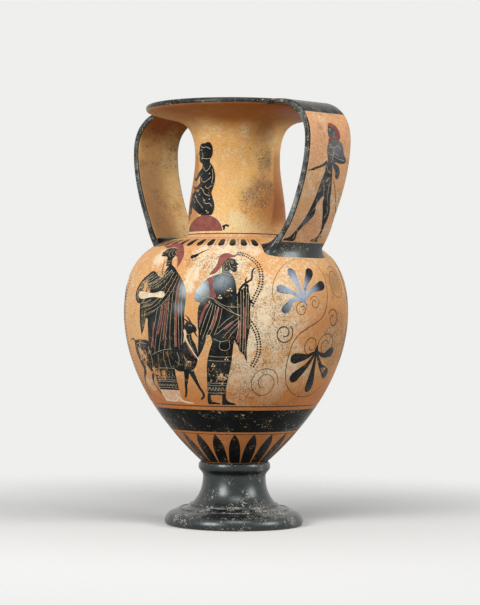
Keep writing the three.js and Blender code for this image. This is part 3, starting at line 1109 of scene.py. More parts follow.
# %% [markdown]
# ## Painting
# A black-figure painter brushes shapes in slip, cuts lines through it with a point, and lays red and
# white over it. Each colour here is a thin skin of paint. A shape is a flat filled curve and a line
# is a curve with a bevel. Both become a mesh while they are flat, a lattice of cuts lets them bend,
# and every point then goes to its place on the wall. Later layers lie a hair higher. A hand also
# wavers, so each point drifts a little. Blender's noise vectors start somewhere new on each run
# unless they get a seed, so the seed is what makes the drift the same each time.

# %% Paint layers
SLIP_LIFT = 0.09 * MM
COLOUR_LIFT = 0.13 * MM
CUT_LIFT = 0.15 * MM
UNDER = -0.06 * MM
LIFT_STEP = 0.003 * MM
LIFT_CYCLE = 8
LATTICE = (3.6 * MM, 2.8 * MM)
LATTICE_REACH = 1e-7
HAND_WOBBLE = 0.1 * MM
WOBBLE_SCALE = 380
WOBBLE_SEED = 7
WELD = 0.002 * MM
DOT_SIDES = 14
SMALL_DOT_SIDES = 8

noise.seed_set(WOBBLE_SEED)


def cut_up(bm):
    """Cuts a flat bmesh by an upright and a level lattice, so that it can bend with the wall."""
    for axis, step in enumerate(LATTICE):
        normal = Vector((1 - axis, axis, 0))
        reach = [v.co[axis] for v in bm.verts]
        for k in range(math.floor(min(reach) / step) + 1, math.ceil(max(reach) / step)):
            plane = {"plane_co": normal * k * step, "plane_no": normal, "dist": LATTICE_REACH}
            bmesh.ops.bisect_plane(bm, geom=bm.verts[:] + bm.edges[:] + bm.faces[:], **plane)


class Painting:
    """Flat shapes and lines in one colour, later wrapped on a wall as one piece."""

    def __init__(self, face, lift):
        self.face = face
        self.lift = lift
        self.count = 0
        self.bm = bmesh.new()
        self.stand()

    def stand(self, sign=1, shift=0, turn=0):
        """Where the next strokes go, whether they are mirrored, and how far the piece is turned."""
        self.sign = sign
        self.shift = shift
        self.turn = turn

    def spots(self, numbers):
        """Flat spots from pairs of numbers: place round the wall and height."""
        pairs = zip(numbers[::2], numbers[1::2])
        return [self.face.flat(self.sign * across + self.shift, height) for across, height in pairs]

    def keep(self, part):
        """Takes a flat bmesh into the painting, a hair above the one before."""
        bmesh.ops.remove_doubles(part, verts=part.verts, dist=WELD)
        cut_up(part)
        top = self.lift + LIFT_STEP * (self.count % LIFT_CYCLE)
        self.count += 1
        for vert in part.verts:
            vert.co.z = min(max(vert.co.z, UNDER), top)
        mesh = bpy.data.meshes.new("paint")
        part.to_mesh(mesh)
        part.free()
        self.bm.from_mesh(mesh)
        bpy.data.meshes.remove(mesh)

    def keep_curve(self, curve, spots, corners, widths=None):
        """Draws a smooth spline through the spots, with sharp corners where asked, and keeps it."""
        spline = curve.splines.new("BEZIER")
        spline.bezier_points.add(len(spots) - 1)
        spline.use_cyclic_u = widths is None
        spline.resolution_u = 5
        for i, (point, (x, y)) in enumerate(zip(spline.bezier_points, spots)):
            point.co = (x, y, 0)
            point.handle_left_type = "VECTOR" if i in corners else "AUTO"
            point.handle_right_type = point.handle_left_type
            if widths is not None:
                point.radius = widths[i] * HALF_WAY
        holder = bpy.data.objects.new("drawing", curve)
        mesh = bpy.data.meshes.new_from_object(holder)
        part = bmesh.new()
        part.from_mesh(mesh)
        bpy.data.meshes.remove(mesh)
        bpy.data.objects.remove(holder)
        bpy.data.curves.remove(curve)
        self.keep(part)

    def shape(self, numbers, corners=()):
        """A filled shape with a smooth outline."""
        curve = bpy.data.curves.new("shape", "CURVE")
        curve.dimensions = "2D"
        curve.fill_mode = "BOTH"
        curve.extrude = MM
        self.keep_curve(curve, self.spots(numbers), corners)

    def line(self, numbers, widths):
        """A brush line with one width in mm, or a width for each spot."""
        spots = self.spots(numbers)
        if isinstance(widths, (int, float)):
            widths = [widths] * len(spots)
        curve = bpy.data.curves.new("line", "CURVE")
        curve.dimensions = "3D"
        curve.bevel_depth = MM
        curve.bevel_resolution = 1
        curve.use_fill_caps = True
        self.keep_curve(curve, spots, (), widths)

    def lines(self, width, *rows):
        """Several lines of one width."""
        for row in rows:
            self.line(row, width)

    def strokes(self, *rows):
        """Several lines, each with its own widths."""
        for numbers, widths in rows:
            self.line(numbers, widths)

    def disc(self, x, y, size, sides):
        """A round dot at a flat spot, its size in mm."""
        part = bmesh.new()
        radius = size * MM * HALF_WAY
        form = {"radius1": radius, "radius2": radius, "depth": MM, "matrix": Matrix.Translation((x, y, 0))}
        bmesh.ops.create_cone(part, cap_ends=True, segments=sides, **form)
        self.keep(part)

    def dot(self, across, height, size):
        self.disc(*self.spots((across, height))[0], size, DOT_SIDES)

    def lay(self, name, material, slot="black_slip"):
        """Wraps the painting on its wall and makes it a piece."""
        for vert in self.bm.verts:
            drift = noise.noise_vector(Vector((vert.co.x, vert.co.y, 0)) * WOBBLE_SCALE) * HAND_WOBBLE
            vert.co = self.face.place(vert.co.x + drift.x, vert.co.y + drift.y, vert.co.z)
        turned(self.bm, self.turn)
        bmesh.ops.recalc_face_normals(self.bm, faces=self.bm.faces)
        finished(name, self.bm, [material])


# %% [markdown]
# ### Paint finishes
# The slip of the figures is glossy and thin at its edges, with a painted sheen of the lamps on some
# figures and petals. The red is a matt iron wash and the white has turned cream. A cut line shows
# the clay again. Thin outline work is a weak slip that looks dark brown where it is dense and fades
# where the brush ran dry.

# %% Paint finishes
WASH_DEPTH = 0.06 * MM
# Places where the slip wore through, with their reach, and where a painted sheen of light lies on it, with
# a share too.
FIGURE_WORN = [
    ((-8, -82, 173), 16),
    ((-14, -78, 125), 18),
    ((5, -73, 112), 12),
    ((28, -69, 121), 11),
    ((43, -55, 112), 9),
]
FIGURE_SHEEN = [
    ((38, -72, 175), 16, 1.0),
    ((52, -60, 179), 12, 0.45),
    ((29, -75, 172), 9, 0.5),
    ((27, -77, 160), 8, 0.4),
]
TORSO_SHEEN = [((98, 4, 274), 22, 0.6), ((-98, -4, 274), 22, 0.6)]
PETAL_WORN = [((77, -4, 106), 10), ((74, 21, 114), 10), ((76, -13, 117), 8)]
PETAL_SHEEN = [((80, -12, 166), 22, 1.0), ((78, -19, 177), 20, 1.0), ((80, -2, 172), 12, 0.7)]
THICK_CRUST = (0.8, 0.2, 0.6)


def wash_material(name, tone, other, chips, roughness=0.75, clay_values=(0.4, 0.2, 1.0)):
    """A matt colour with a second tone in clouds, worn away to the clay in places."""
    material, w, shader = bare_material(name)
    clay = clay_node(w, *clay_values)
    wear = w.add("ShaderNodeGroup", {"node_tree": SLIP}, Place=w.place, Chips=chips, Scratches=0.1)
    colour = w.mix(w.ramp(w.noise(260, 4, 0.65), 0.35, 0.65), linear(tone), linear(other))
    seen = w.mix(wear.outputs["Left"], clay.outputs["Color"], colour)
    w.set(shader, Base_Color=seen, Roughness=roughness)
    relief(w, shader, wear.outputs["Height"], WASH_DEPTH)
    return material


figure_slip = slip_material(
    "figure_slip",
    (0.36, 0.5, 0.05),
    "0C0E0D",
    "C6D4DA",
    0.15,
    worn_at=FIGURE_WORN,
    sheen_at=FIGURE_SHEEN,
    matt=0.06,
)
worn_slip = slip_material(
    "worn_slip", (0.46, 0.7, 0.38), "1A1C1F", "8D8F93", 0.18, sheen_at=TORSO_SHEEN
)
ornament_slip = slip_material(
    "ornament_slip",
    (0.3, 0.2, 0.05),
    "0C0D0F",
    "A8B6CA",
    0.15,
    worn_at=PETAL_WORN,
    sheen_at=PETAL_SHEEN,
)
line_slip = wash_material("line_slip", "35261C", "6E4A2E", 0.38, 0.55)
added_red = wash_material("added_red", "96584E", "7F4A43", 0.16)
added_white = wash_material("added_white", "F0E0C4", "E0C7A0", 0.2)
pale_wear = wash_material("pale_wear", "F0E0B8", "E3C492", 0.84, 0.8, THICK_CRUST)
cut_clay = wash_material("cut_clay", "DCCEAE", "BEA278", 0.1)
foot_wash = wash_material("foot_wash", "DDA98A", "E6C8A2", 0.5, 0.8, THICK_CRUST)

# %% [markdown]
# ### Rays and tongues
# Rays rise from the collar and carry the eye into the swelling body. A ring of short tongues
# hangs from the neck, and stops where the handles stand. Both are one stroke shape, repeated.

# %% Rays
RAY_COUNT = 20
RAY_FACING = 48
rays = Painting(body_face, SLIP_LIFT)
for i in range(RAY_COUNT):
    rays.stand(1, RAY_FACING + i * 360 / RAY_COUNT)
    rays.shape(
        (-8.2, 47.2, -7.6, 52, -6.8, 57, -5.2, 62, -2.9, 66, 0, 69.4)
        + (2.9, 66, 5.2, 62, 6.8, 57, 7.6, 52, 8.2, 47.2),
        corners=(0, 5, 10),
    )
rays.lay("body_rays", figure_slip)

# %% Tongues
TONGUE_STEP = 7.66
FIRST_TONGUE = -54.4
TONGUES_A_SIDE = 16
tongues = Painting(body_face, SLIP_LIFT)
ticks = Painting(body_face, SLIP_LIFT)
for front in (0, 180):
    for i in range(TONGUES_A_SIDE):
        tongues.stand(1, front + FIRST_TONGUE + i * TONGUE_STEP)
        tongues.shape(
            (0, 204.5, 1.7, 205.1, 2.15, 206.2, 2, 207.5, 1.7, 208.8, 1.3, 209.6)
            + (-1.3, 209.6, -1.7, 208.8, -2, 207.5, -2.15, 206.2, -1.7, 205.1),
            corners=(5, 6),
        )
        ticks.stand(1, tongues.shift + TONGUE_STEP * HALF_WAY)
        ticks.line((0, 205.4, 0, 207.4, 0, 209.9), (0.5, 0.55, 0.8))
        ticks.dot(0, 205.2, 0.9)
tongues.lay("body_tongues", figure_slip)
ticks.lay("body_tongue_ticks", added_red)

# %% [markdown]
# ### Palmettes and tendrils
# Under each handle two palmettes spring back to back from a thin S-shaped stem with curled
# shoots. A petal is a line that grows to a round head. A shoot is a spiral.

# %% Petals and shoots
DEGREES_A_MM = 0.69
SHOOT_STEPS = 20
SHOOT_CLOSING = 1.7
# Each petal's middle, its head, and in mm the head's size and the neck's width.
UPPER_HEART = (83.6, 166.2)
UPPER_PETALS = (
    ((76.8, 171.8), (70.4, 174.2), 5.8, 2.6),
    ((80.6, 176.8), (77.6, 186.2), 6.0, 2.6),
    ((85.4, 177.4), (89.8, 186.6), 6.2, 2.2),
    ((89.2, 173.4), (96.8, 177.2), 6.4, 1.8),
    ((77.0, 166.4), (72.7, 159.6), 5.6, 2.6),
)
LOWER_HEART = (94.6, 130)
LOWER_PETALS = (
    ((88.2, 126.2), (80.6, 124.9), 7.4, 1.4),
    ((89.8, 119.8), (82.9, 111.2), 7.8, 1.4),
    ((95.6, 117.2), (97.4, 104), 8.4, 1.4),
    ((101.4, 119.4), (109.8, 113.4), 7.4, 1.4),
    ((101.6, 127), (108.4, 129.4), 7.0, 1.4),
)
# Each shoot's middle, its reach in mm, its first angle, its turns and its width.
SHOOTS = (
    ((72.7, 142.7), 6.9, 50, -1.45, 0.9),
    ((105.3, 153.6), 6.8, 150, -1.2, 0.9),
    ((90.7, 164.6), 4.8, 160, -1.3, 0.5),
    ((82.2, 160), 5.2, 20, 1.3, 0.5),
    ((90.2, 134), 7.0, -60, -1.3, 0.65),
    ((102, 134.2), 10.2, 200, -1.5, 0.65, 0.25, 0.85),
    ((64.8, 107.2), 12, 0, 1.75, 0.5, 0.25, 0.9),
)


def petal(painting, heart, middle, head, size, neck):
    """A petal from the heart to a round head."""
    near_head = [0.35 * m + 0.65 * h for m, h in zip(middle, head)]
    widths = (neck, size * 0.52, size * 0.95, size * 1.1)
    painting.line((*heart, *middle, *near_head, *head), widths)
    painting.dot(*head, size)


def shoot(painting, middle, radius, start, turns, width, last=0.25, tall=1.0):
    """A spiral line that winds inwards from an angle in degrees; negative turns wind the other way."""
    numbers = []
    for i in range(SHOOT_STEPS + 1):
        share = i / SHOOT_STEPS
        angle = math.radians(start) + TURN * turns * share
        reach = radius * (1 - (1 - last) * share**SHOOT_CLOSING)
        numbers.append(middle[0] + reach * DEGREES_A_MM * math.cos(angle))
        numbers.append(middle[1] + reach * tall * math.sin(angle))
    painting.line(numbers, width)


def palmettes(painting):
    """The upper palmette, of five petals, and the lower one, of five petals and a point."""
    for row in UPPER_PETALS:
        petal(painting, UPPER_HEART, *row)
    painting.line((84.4, 170.4, 83.8, 166.8, 83.4, 163.4), (1.6, 3.4, 1.6))
    painting.line((94.6, 134.4, 94.6, 131.8, 94.6, 128.6), (0.8, 3.0, 5.4))
    for row in LOWER_PETALS:
        petal(painting, LOWER_HEART, *row)


def tendrils(painting):
    """The stem and its shoots."""
    painting.line(
        (66.4, 166, 66.4, 176, 70.4, 186.6, 78, 193.8, 88.4, 195.8, 96.5, 192.6, 100.6, 185.4)
        + (100.9, 177, 99.7, 164, 97.4, 156.6, 93.7, 152, 86, 146.4, 79.5, 139.3, 76.7, 128)
        + (77.8, 109.3, 82, 102.4, 88.8, 98.2, 97, 97, 105.2, 99, 111.6, 104.6),
        (0.4, 0.4, 0.35, 0.25, 0.2, 0.25, 0.4, 0.6, 0.65)
        + (0.7,) * 5
        + (0.65, 0.6, 0.55, 0.5, 0.45, 0.4),
    )
    for row in SHOOTS:
        shoot(painting, *row)


plants = Painting(body_face, SLIP_LIFT)
stems = Painting(body_face, SLIP_LIFT - 0.02 * MM)
for sign in (1, -1):
    plants.stand(sign)
    stems.stand(sign)
    palmettes(plants)
    tendrils(stems)
stems.stand()
shoot(stems, (111.5, 179.5), 12, 130, -1.3, 0.4, 0.6)
plants.lay("body_palmettes", ornament_slip)
stems.lay("body_tendrils", line_slip)

# %% [markdown]
# ### Dotted vines
# Beside the standing figures hang vines, drawn as two rows of dots that follow one arc. The same
# even steps along a line make the dots and hatches of fleece, hair and woven cloth.

# %% Vines
UPPER_VINE = (48.8, 198.9, 52, 198.4, 54.9, 196.6, 57.6, 194, 59.6, 190.8, 60.6, 187, 60.8, 182.6)
UPPER_VINE += (60.4, 178.6, 59.7, 175, 58.6, 171.6, 57.2, 168, 56, 164, 55, 160.6)
LOWER_VINE = (55.2, 150, 56.8, 147, 58.3, 142.6, 59.5, 137, 59.9, 131.6, 59.2, 126, 58, 122.4)
LOWER_VINE += (56.9, 119.4)
OUTER_VINE = (-27, 182, -28.6, 172, -29.8, 158, -30, 144, -29.2, 130, -28, 118, -26.8, 106, -26, 96)
HATCH_LEANS = (-0.1, 0.35)


def stations(spots, gap, line):
    """Places on a line, at even steps along the spots that it follows."""
    run = run_along(spots)
    return [looked_up(at, run, line.T) for at in np.arange(0, run[-1], gap)]


def dotted_row(painting, numbers, gap, size, offset=0):
    """Dots at even steps beside a bent line."""
    spots = painting.spots(numbers)
    side = unit_along(spots)[:, ::-1] * (-1, 1)
    for x, y in stations(spots, gap * MM, np.array(spots) + side * offset * MM):
        painting.disc(x, y, size, SMALL_DOT_SIDES)


def dotted_pair(painting, numbers, gap, size, offset):
    """Two rows of dots, one on each side of a bent line."""
    for side in (offset, -offset):
        dotted_row(painting, numbers, gap, size, side)


def hatched_row(painting, numbers, gap, length, width):
    """Short slanting strokes at even steps along a bent line."""
    spots = np.array(numbers, dtype=float).reshape(-1, 2)
    reach = length * HALF_WAY
    for k, (x, y) in enumerate(stations(spots, gap, spots)):
        lean = HATCH_LEANS[k % 2]
        painting.line((x - lean, y - reach, x + lean, y + reach), width)


# %% [markdown]
# ### Figures
# The scenes follow the common types of the time: draped men and women in profile, a goat, a seated
# man on a rock, and naked striding men on the handles. Each is drawn freshly for this lesson. A
# figure is one dark shape, so its outline carries the pose, and cut lines carry folds and limbs.

# %% Layers for figures
ROSETTE = ((-0.55, -0.6), (0.75, -0.7), (0.1, 0.8))


class Layers:
    """The layers of a figure painting on one wall: slip, thin lines, red, white and cut lines."""

    def __init__(self, face):
        self.slip = Painting(face, SLIP_LIFT)
        self.thin = Painting(face, SLIP_LIFT)
        self.red = Painting(face, COLOUR_LIFT)
        self.white = Painting(face, COLOUR_LIFT)
        self.cut = Painting(face, CUT_LIFT)

    def stand(self, *place):
        """Where the next figure stands, and whether it is turned round."""
        for painting in (self.slip, self.thin, self.red, self.white, self.cut):
            painting.stand(*place)

    def lay(self, name, slip):
        """Makes the layers into pieces. A layer that a scene doesn't use is left out."""
        for painting, label, material, slot in (
            (self.slip, "slip", slip, "black_slip"),
            (self.thin, "thin_lines", line_slip, "black_slip"),
            (self.red, "red", added_red, "black_slip"),
            (self.white, "white", added_white, "fired_clay"),
            (self.cut, "cut_lines", cut_clay, "fired_clay"),
        ):
            if painting.count:
                painting.lay(f"{name}_{label}", material, slot)


def zigzag(painting, across, height, step, rise, count):
    """A zigzag line round a hem."""
    corners = [(across + step * i, height + rise * (i % 2)) for i in range(count)]
    painting.line([number for corner in corners for number in corner], 0.45)


def dotted_hem(painting, across, height, step, drop, count):
    """Large dots round a hem, each second one a little lower."""
    for i in range(count):
        painting.dot(across + step * i, height - drop * (i % 2), 0.8)


def rosette(painting, across, height):
    """Three white dots, the sign for a woven pattern."""
    for sideways, up in ROSETTE:
        painting.dot(across + sideways, height + up, 1.0)


# %% Woman in a mantle


def woman(paint):
    """A woman who looks left, in a long dress and a mantle drawn over one arm."""
    paint.slip.shape(
        (8.8, 189.4, 10.4, 190.8, 12, 189.8, 13.6, 188.4, 16.8, 184.2, 20.2, 178.6, 22.2, 173.2)
        + (22.5, 165, 21.9, 156, 22, 148, 21.2, 139, 19.6, 131.2, 17.6, 128.4, 15.4, 131.8, 13.8, 130.4)
        + (13.3, 121, 12.5, 110, 12.1, 101.2, -4.1, 101.2, -4.4, 106, -3.3, 114, -1.5, 121)
        + (-1.4, 127, -2.7, 133, -2.1, 140, -1.8, 147, -2.3, 152.6, -4.2, 148.2, -5.6, 144.4)
        + (-8.0, 140.4, -8.4, 148, -8.5, 156, -8.3, 163.2, -10.6, 163.4, -13.3, 166.6, -13.6, 171)
        + (-11.8, 176, -8.6, 180.4, -5, 183.8, -1.6, 186.2, 1.8, 184.8, 4.6, 182.2, 6.6, 182.2, 7.6, 185.4),
        corners=(12, 13, 17, 18, 29, 32),
    )
    paint.slip.shape(
        (-0.8, 201.4, -1, 200.4, -2, 199.4, -1.1, 199.1, -1.3, 198.6, -0.7, 198.2, -1, 197.6, 0, 197)
        + (2.4, 196.8, 5, 196.2, 6.2, 193.4, 7.2, 189.4, 11, 190.4, 9.8, 194.4, 10.6, 197.6, 10.4, 200.4)
        + (7.6, 202.4, 3.6, 203, 0.6, 202.6),
        corners=(11, 12),
    )
    paint.slip.line((4.4, 194, 5.2, 189, 6.4, 183), 0.6)
    paint.red.shape(
        (-6.4, 204.3, 0, 206.4, 6.4, 206.2, 10.4, 204.8, 14, 201.6, 16.4, 197.4, 16.4, 193, 14.9, 188)
        + (14.2, 192, 12.6, 195.8, 10, 198.2, 9.2, 200.8, 7, 203, 3.4, 203.7, -1, 203),
        corners=(0, 7),
    )
    paint.white.shape(
        (-9.6, 171, -6, 171.4, -1, 170.6, 4, 170.6, 8.4, 171.6, 10, 169.6, 8.8, 167.4, 4, 167.6)
        + (-1, 167.2, -5.5, 166.4, -9.2, 167, -10.5, 169)
    )
    paint.white.line(
        (-4, 100.6, -3.6, 97, -1.8, 94, 2, 93, 6, 93.2, 8.6, 95, 8.4, 98.6),
        (1.2, 1.5, 1.4) + (0.9,) * 4,
    )
    paint.white.line((9.6, 96.6, 11.6, 93.8, 15, 92.4, 20.4, 91.8), (1.0, 1.8, 1.4, 0.6))
    paint.cut.lines(
        0.35,
        (0, 200.6, 1.2, 201, 2.4, 200.5),
        (0.2, 200.1, 1.2, 199.8, 2.2, 200.2),
        (-0.7, 198.5, 0.4, 198.6),
        (4.6, 202.6, 4.4, 200, 5.4, 197.6, 7.4, 196.4),
        (6.6, 202, 6.6, 200, 7.6, 198.2, 9.6, 197.4),
        (8.8, 201.4, 8.8, 200, 10.6, 199),
        (5.6, 193.6, 7.4, 193, 9.4, 193.4),
        (5.4, 191.8, 7.4, 191.2, 9.4, 191.6),
    )
    for row in (
        (12, 186.4, 9.4, 183, 5, 180.4),
        (-1, 184.2, -5, 181.2, -9.6, 176.6),
        (-2, 176.2, -7, 175.6, -11, 173.4),
        (3.6, 183, -1.6, 179.2, -8, 178),
        (8, 184, 3.6, 178.4, -3, 176.4),
        (0.6, 165.6, -3.4, 163.6, -7.4, 163.2),
        (1.8, 162, -3, 161.6, -7.8, 159.4),
    ):
        dotted_row(paint.cut, row, 1.5, 0.75)
    for row in (
        (-1, 182.4, -5.6, 179.6, -10.4, 174.6),
        (4.6, 180.8, -1, 177, -8.4, 174.6),
        (9.6, 186.2, 5.6, 180.2, -1, 175.4),
        (12.6, 185.4, 8.6, 178.4, 2.6, 174),
        (6.4, 176, 2.6, 173.8, -4, 173.4),
        (-11.6, 172.8, -11.6, 169, -10.4, 165.4),
        (10.4, 176.6, 9.6, 172, 7.6, 167.6, 1.6, 163.4, -5.6, 161.6),
        (3.6, 157.6, -2.6, 154.6, -7.4, 154.6),
        (-3.4, 110, 4, 110.6, 12.2, 110.4),
    ):
        hatched_row(paint.cut, row, 1.25, 1.5, 0.3)
    paint.cut.lines(
        0.34,
        (17.4, 181.6, 14.8, 173, 10.6, 165, 5.4, 159.4, -1, 156.2),
        (16, 183.6, 12.8, 174, 8.6, 166.6, 4, 161.4, -3, 158.2),
        (14, 185.4, 11, 177, 7.6, 172.8),
        (5.8, 166.4, 2, 162.6, -4.6, 160.2),
        (12.2, 187, 7.2, 180, 1.4, 175.4, -6, 174.6),
        (9, 186, 4.6, 181, -1.4, 177.6, -8.4, 176.8),
        (2.4, 184.6, -2.6, 180.8, -7.4, 179),
        (-12.6, 172.6, -10.6, 168, -10.2, 164.4),
    )
    paint.cut.lines(
        0.32,
        (18.6, 180.6, 17.2, 170, 16.8, 156, 15.6, 132.2),
        (19.8, 178.2, 18.8, 166, 18.8, 150, 18, 130.4),
        (21, 175, 20.4, 162, 20.6, 146, 19.6, 134),
        (15.4, 175, 14.6, 160, 13.6, 146, 12.4, 131),
        (13.2, 169.4, 12.6, 156, 11, 143, 8.6, 130),
        (11.2, 166, 10, 154, 7.2, 140, 4.2, 128.4),
        (8.6, 162.6, 7, 152, 3.8, 139, 0.8, 127),
        (5.8, 160.2, 4, 150, 1.2, 139.4, -1.2, 131),
        (-3.6, 157.6, -4.6, 151, -5.4, 146),
        (-6, 158.4, -6.4, 151, -6.8, 144.6),
    )
    paint.cut.lines(
        0.32,
        (-1.2, 126.4, 3.6, 128.6, 8.6, 130.2, 13.4, 130.8),
        (-2.8, 116.2, 4, 117, 12.8, 116.8),
        (-4.2, 108.2, 4, 108.6, 12.3, 108.4),
        (-4.3, 106.9, 4, 107.3, 12.2, 107.1),
        (-4.2, 102.6, 4, 102.8, 12, 102.6),
        (3.4, 127, 2.2, 121, 2.4, 117.2),
        (7.6, 129, 7, 122, 7.6, 117.2),
        (10.6, 129.8, 10.4, 123, 11, 117),
    )
    zigzag(paint.cut, -3.6, 104, 1.15, 1.3, 14)
    dotted_hem(paint.cut, -2, 112.4, 2.5, 0.5, 6)
    paint.red.lines(
        2.0,
        (18.3, 179, 17.7, 172, 17.7, 163),
        (17.7, 158, 17.2, 148, 16.6, 139, 16.4, 132.6),
        (12, 164, 11.2, 154, 9.8, 144.4, 8.6, 137),
        (9.2, 161.6, 8, 150.6, 5.4, 141.2),
        (3.2, 149.6, 1.6, 140, 0.4, 132),
    )


# %% Goat


def goat(paint):
    """A goat that stands behind the woman, its rump on her left and its chest on her right."""
    paint.slip.shape(
        (-17.6, 131.4, -16.8, 135.2, -13.5, 136.8, -8, 136.9, -3.2, 136.2, -1.4, 133, -1, 127)
        + (-1.2, 121, -3, 117.6, -6.4, 117.2, -9.6, 119.4, -12, 116.4, -15, 119.6, -17.2, 125)
    )
    paint.slip.shape(
        (13.6, 130.4, 16.4, 133.2, 19.4, 133.8, 21.6, 136.4, 22.6, 139.6, 23, 143, 22, 146, 22.6, 149)
        + (24.6, 150.4, 27, 148.2, 28.4, 145.2, 28, 143.2, 26, 142.4, 25.6, 139.6, 27.4, 134)
        + (28.2, 127.6, 27.2, 121, 25.2, 117, 22, 115.4, 18, 114.8, 14.4, 115.6, 12.6, 118),
        corners=(0,),
    )
    paint.slip.strokes(
        ((-15.6, 135.4, -19.2, 137.4, -22.8, 136), (1.8, 1.3, 0.5)),
        ((-14.6, 122, -13.4, 115.4, -17, 110.4, -20.6, 105, -22, 96), (6, 4.2, 2.4, 1.6, 1.6)),
        ((-8.6, 121, -5.8, 113.2, -8.4, 107, -6.4, 101.4, -4, 97), (5, 3.4, 2.2, 1.8, 2.2)),
        ((20.6, 117, 19.6, 111, 18, 105, 16.8, 99.6, 14.4, 94.6), (5, 3.8, 2.4, 2, 1.4)),
        ((22.6, 117, 24.4, 110.6, 26.4, 104, 28.4, 97.6, 26, 94.8), (5, 3.6, 2.2, 2, 1.4)),
        ((24.4, 149.4, 22.6, 151.6, 20.6, 152.4), (1.4, 1.1, 0.4)),
        ((25.2, 150, 24.2, 152.8, 22.4, 155), (1.4, 1.0, 0.4)),
        ((27.2, 143.6, 28, 141, 29.2, 139.4), (1.3, 0.9, 0.3)),
    )
    paint.white.line((21.6, 144.6, 22.6, 137.6, 25.2, 130.4, 28.6, 123.2), (1.4, 2.2, 1.5, 0.8))
    paint.red.line((22.6, 134.6, 24.8, 129.4, 27, 124.6), (1.4, 2.8, 1.0))
    paint.cut.lines(
        0.4,
        (24.2, 147.4, 25.2, 147.8, 25.9, 147),
        (22.9, 141.4, 24.6, 141.2, 25.8, 142.2),
        (15.4, 118.6, 17, 123, 16.4, 128.6),
        (19.6, 116.4, 21, 121, 20.2, 127),
        (-15.6, 121, -12.4, 124.4, -12.2, 130.6),
        (-10.4, 120, -8.6, 124, -9, 129),
        (-14.8, 133.8, -10, 134.6, -5, 134),
        (-3.2, 118.8, -2.6, 124, -3.2, 130),
    )
    for row in (
        (-16.2, 132.6, -12.6, 130.6, -9.4, 132.2),
        (-15.4, 129, -11.6, 127.4, -7.4, 129.2),
        (-16, 125.6, -12.2, 121.6, -8.6, 121.4),
        (14.6, 122, 17.6, 119.8, 21.6, 119),
        (18.6, 126, 22, 122.6, 25.6, 121.6),
        (24.2, 140, 25, 134, 26.8, 128.4),
        (14.4, 111.6, 19.6, 108.6),
    ):
        hatched_row(paint.cut, row, 1.2, 1.0, 0.3)


# %% Draped man


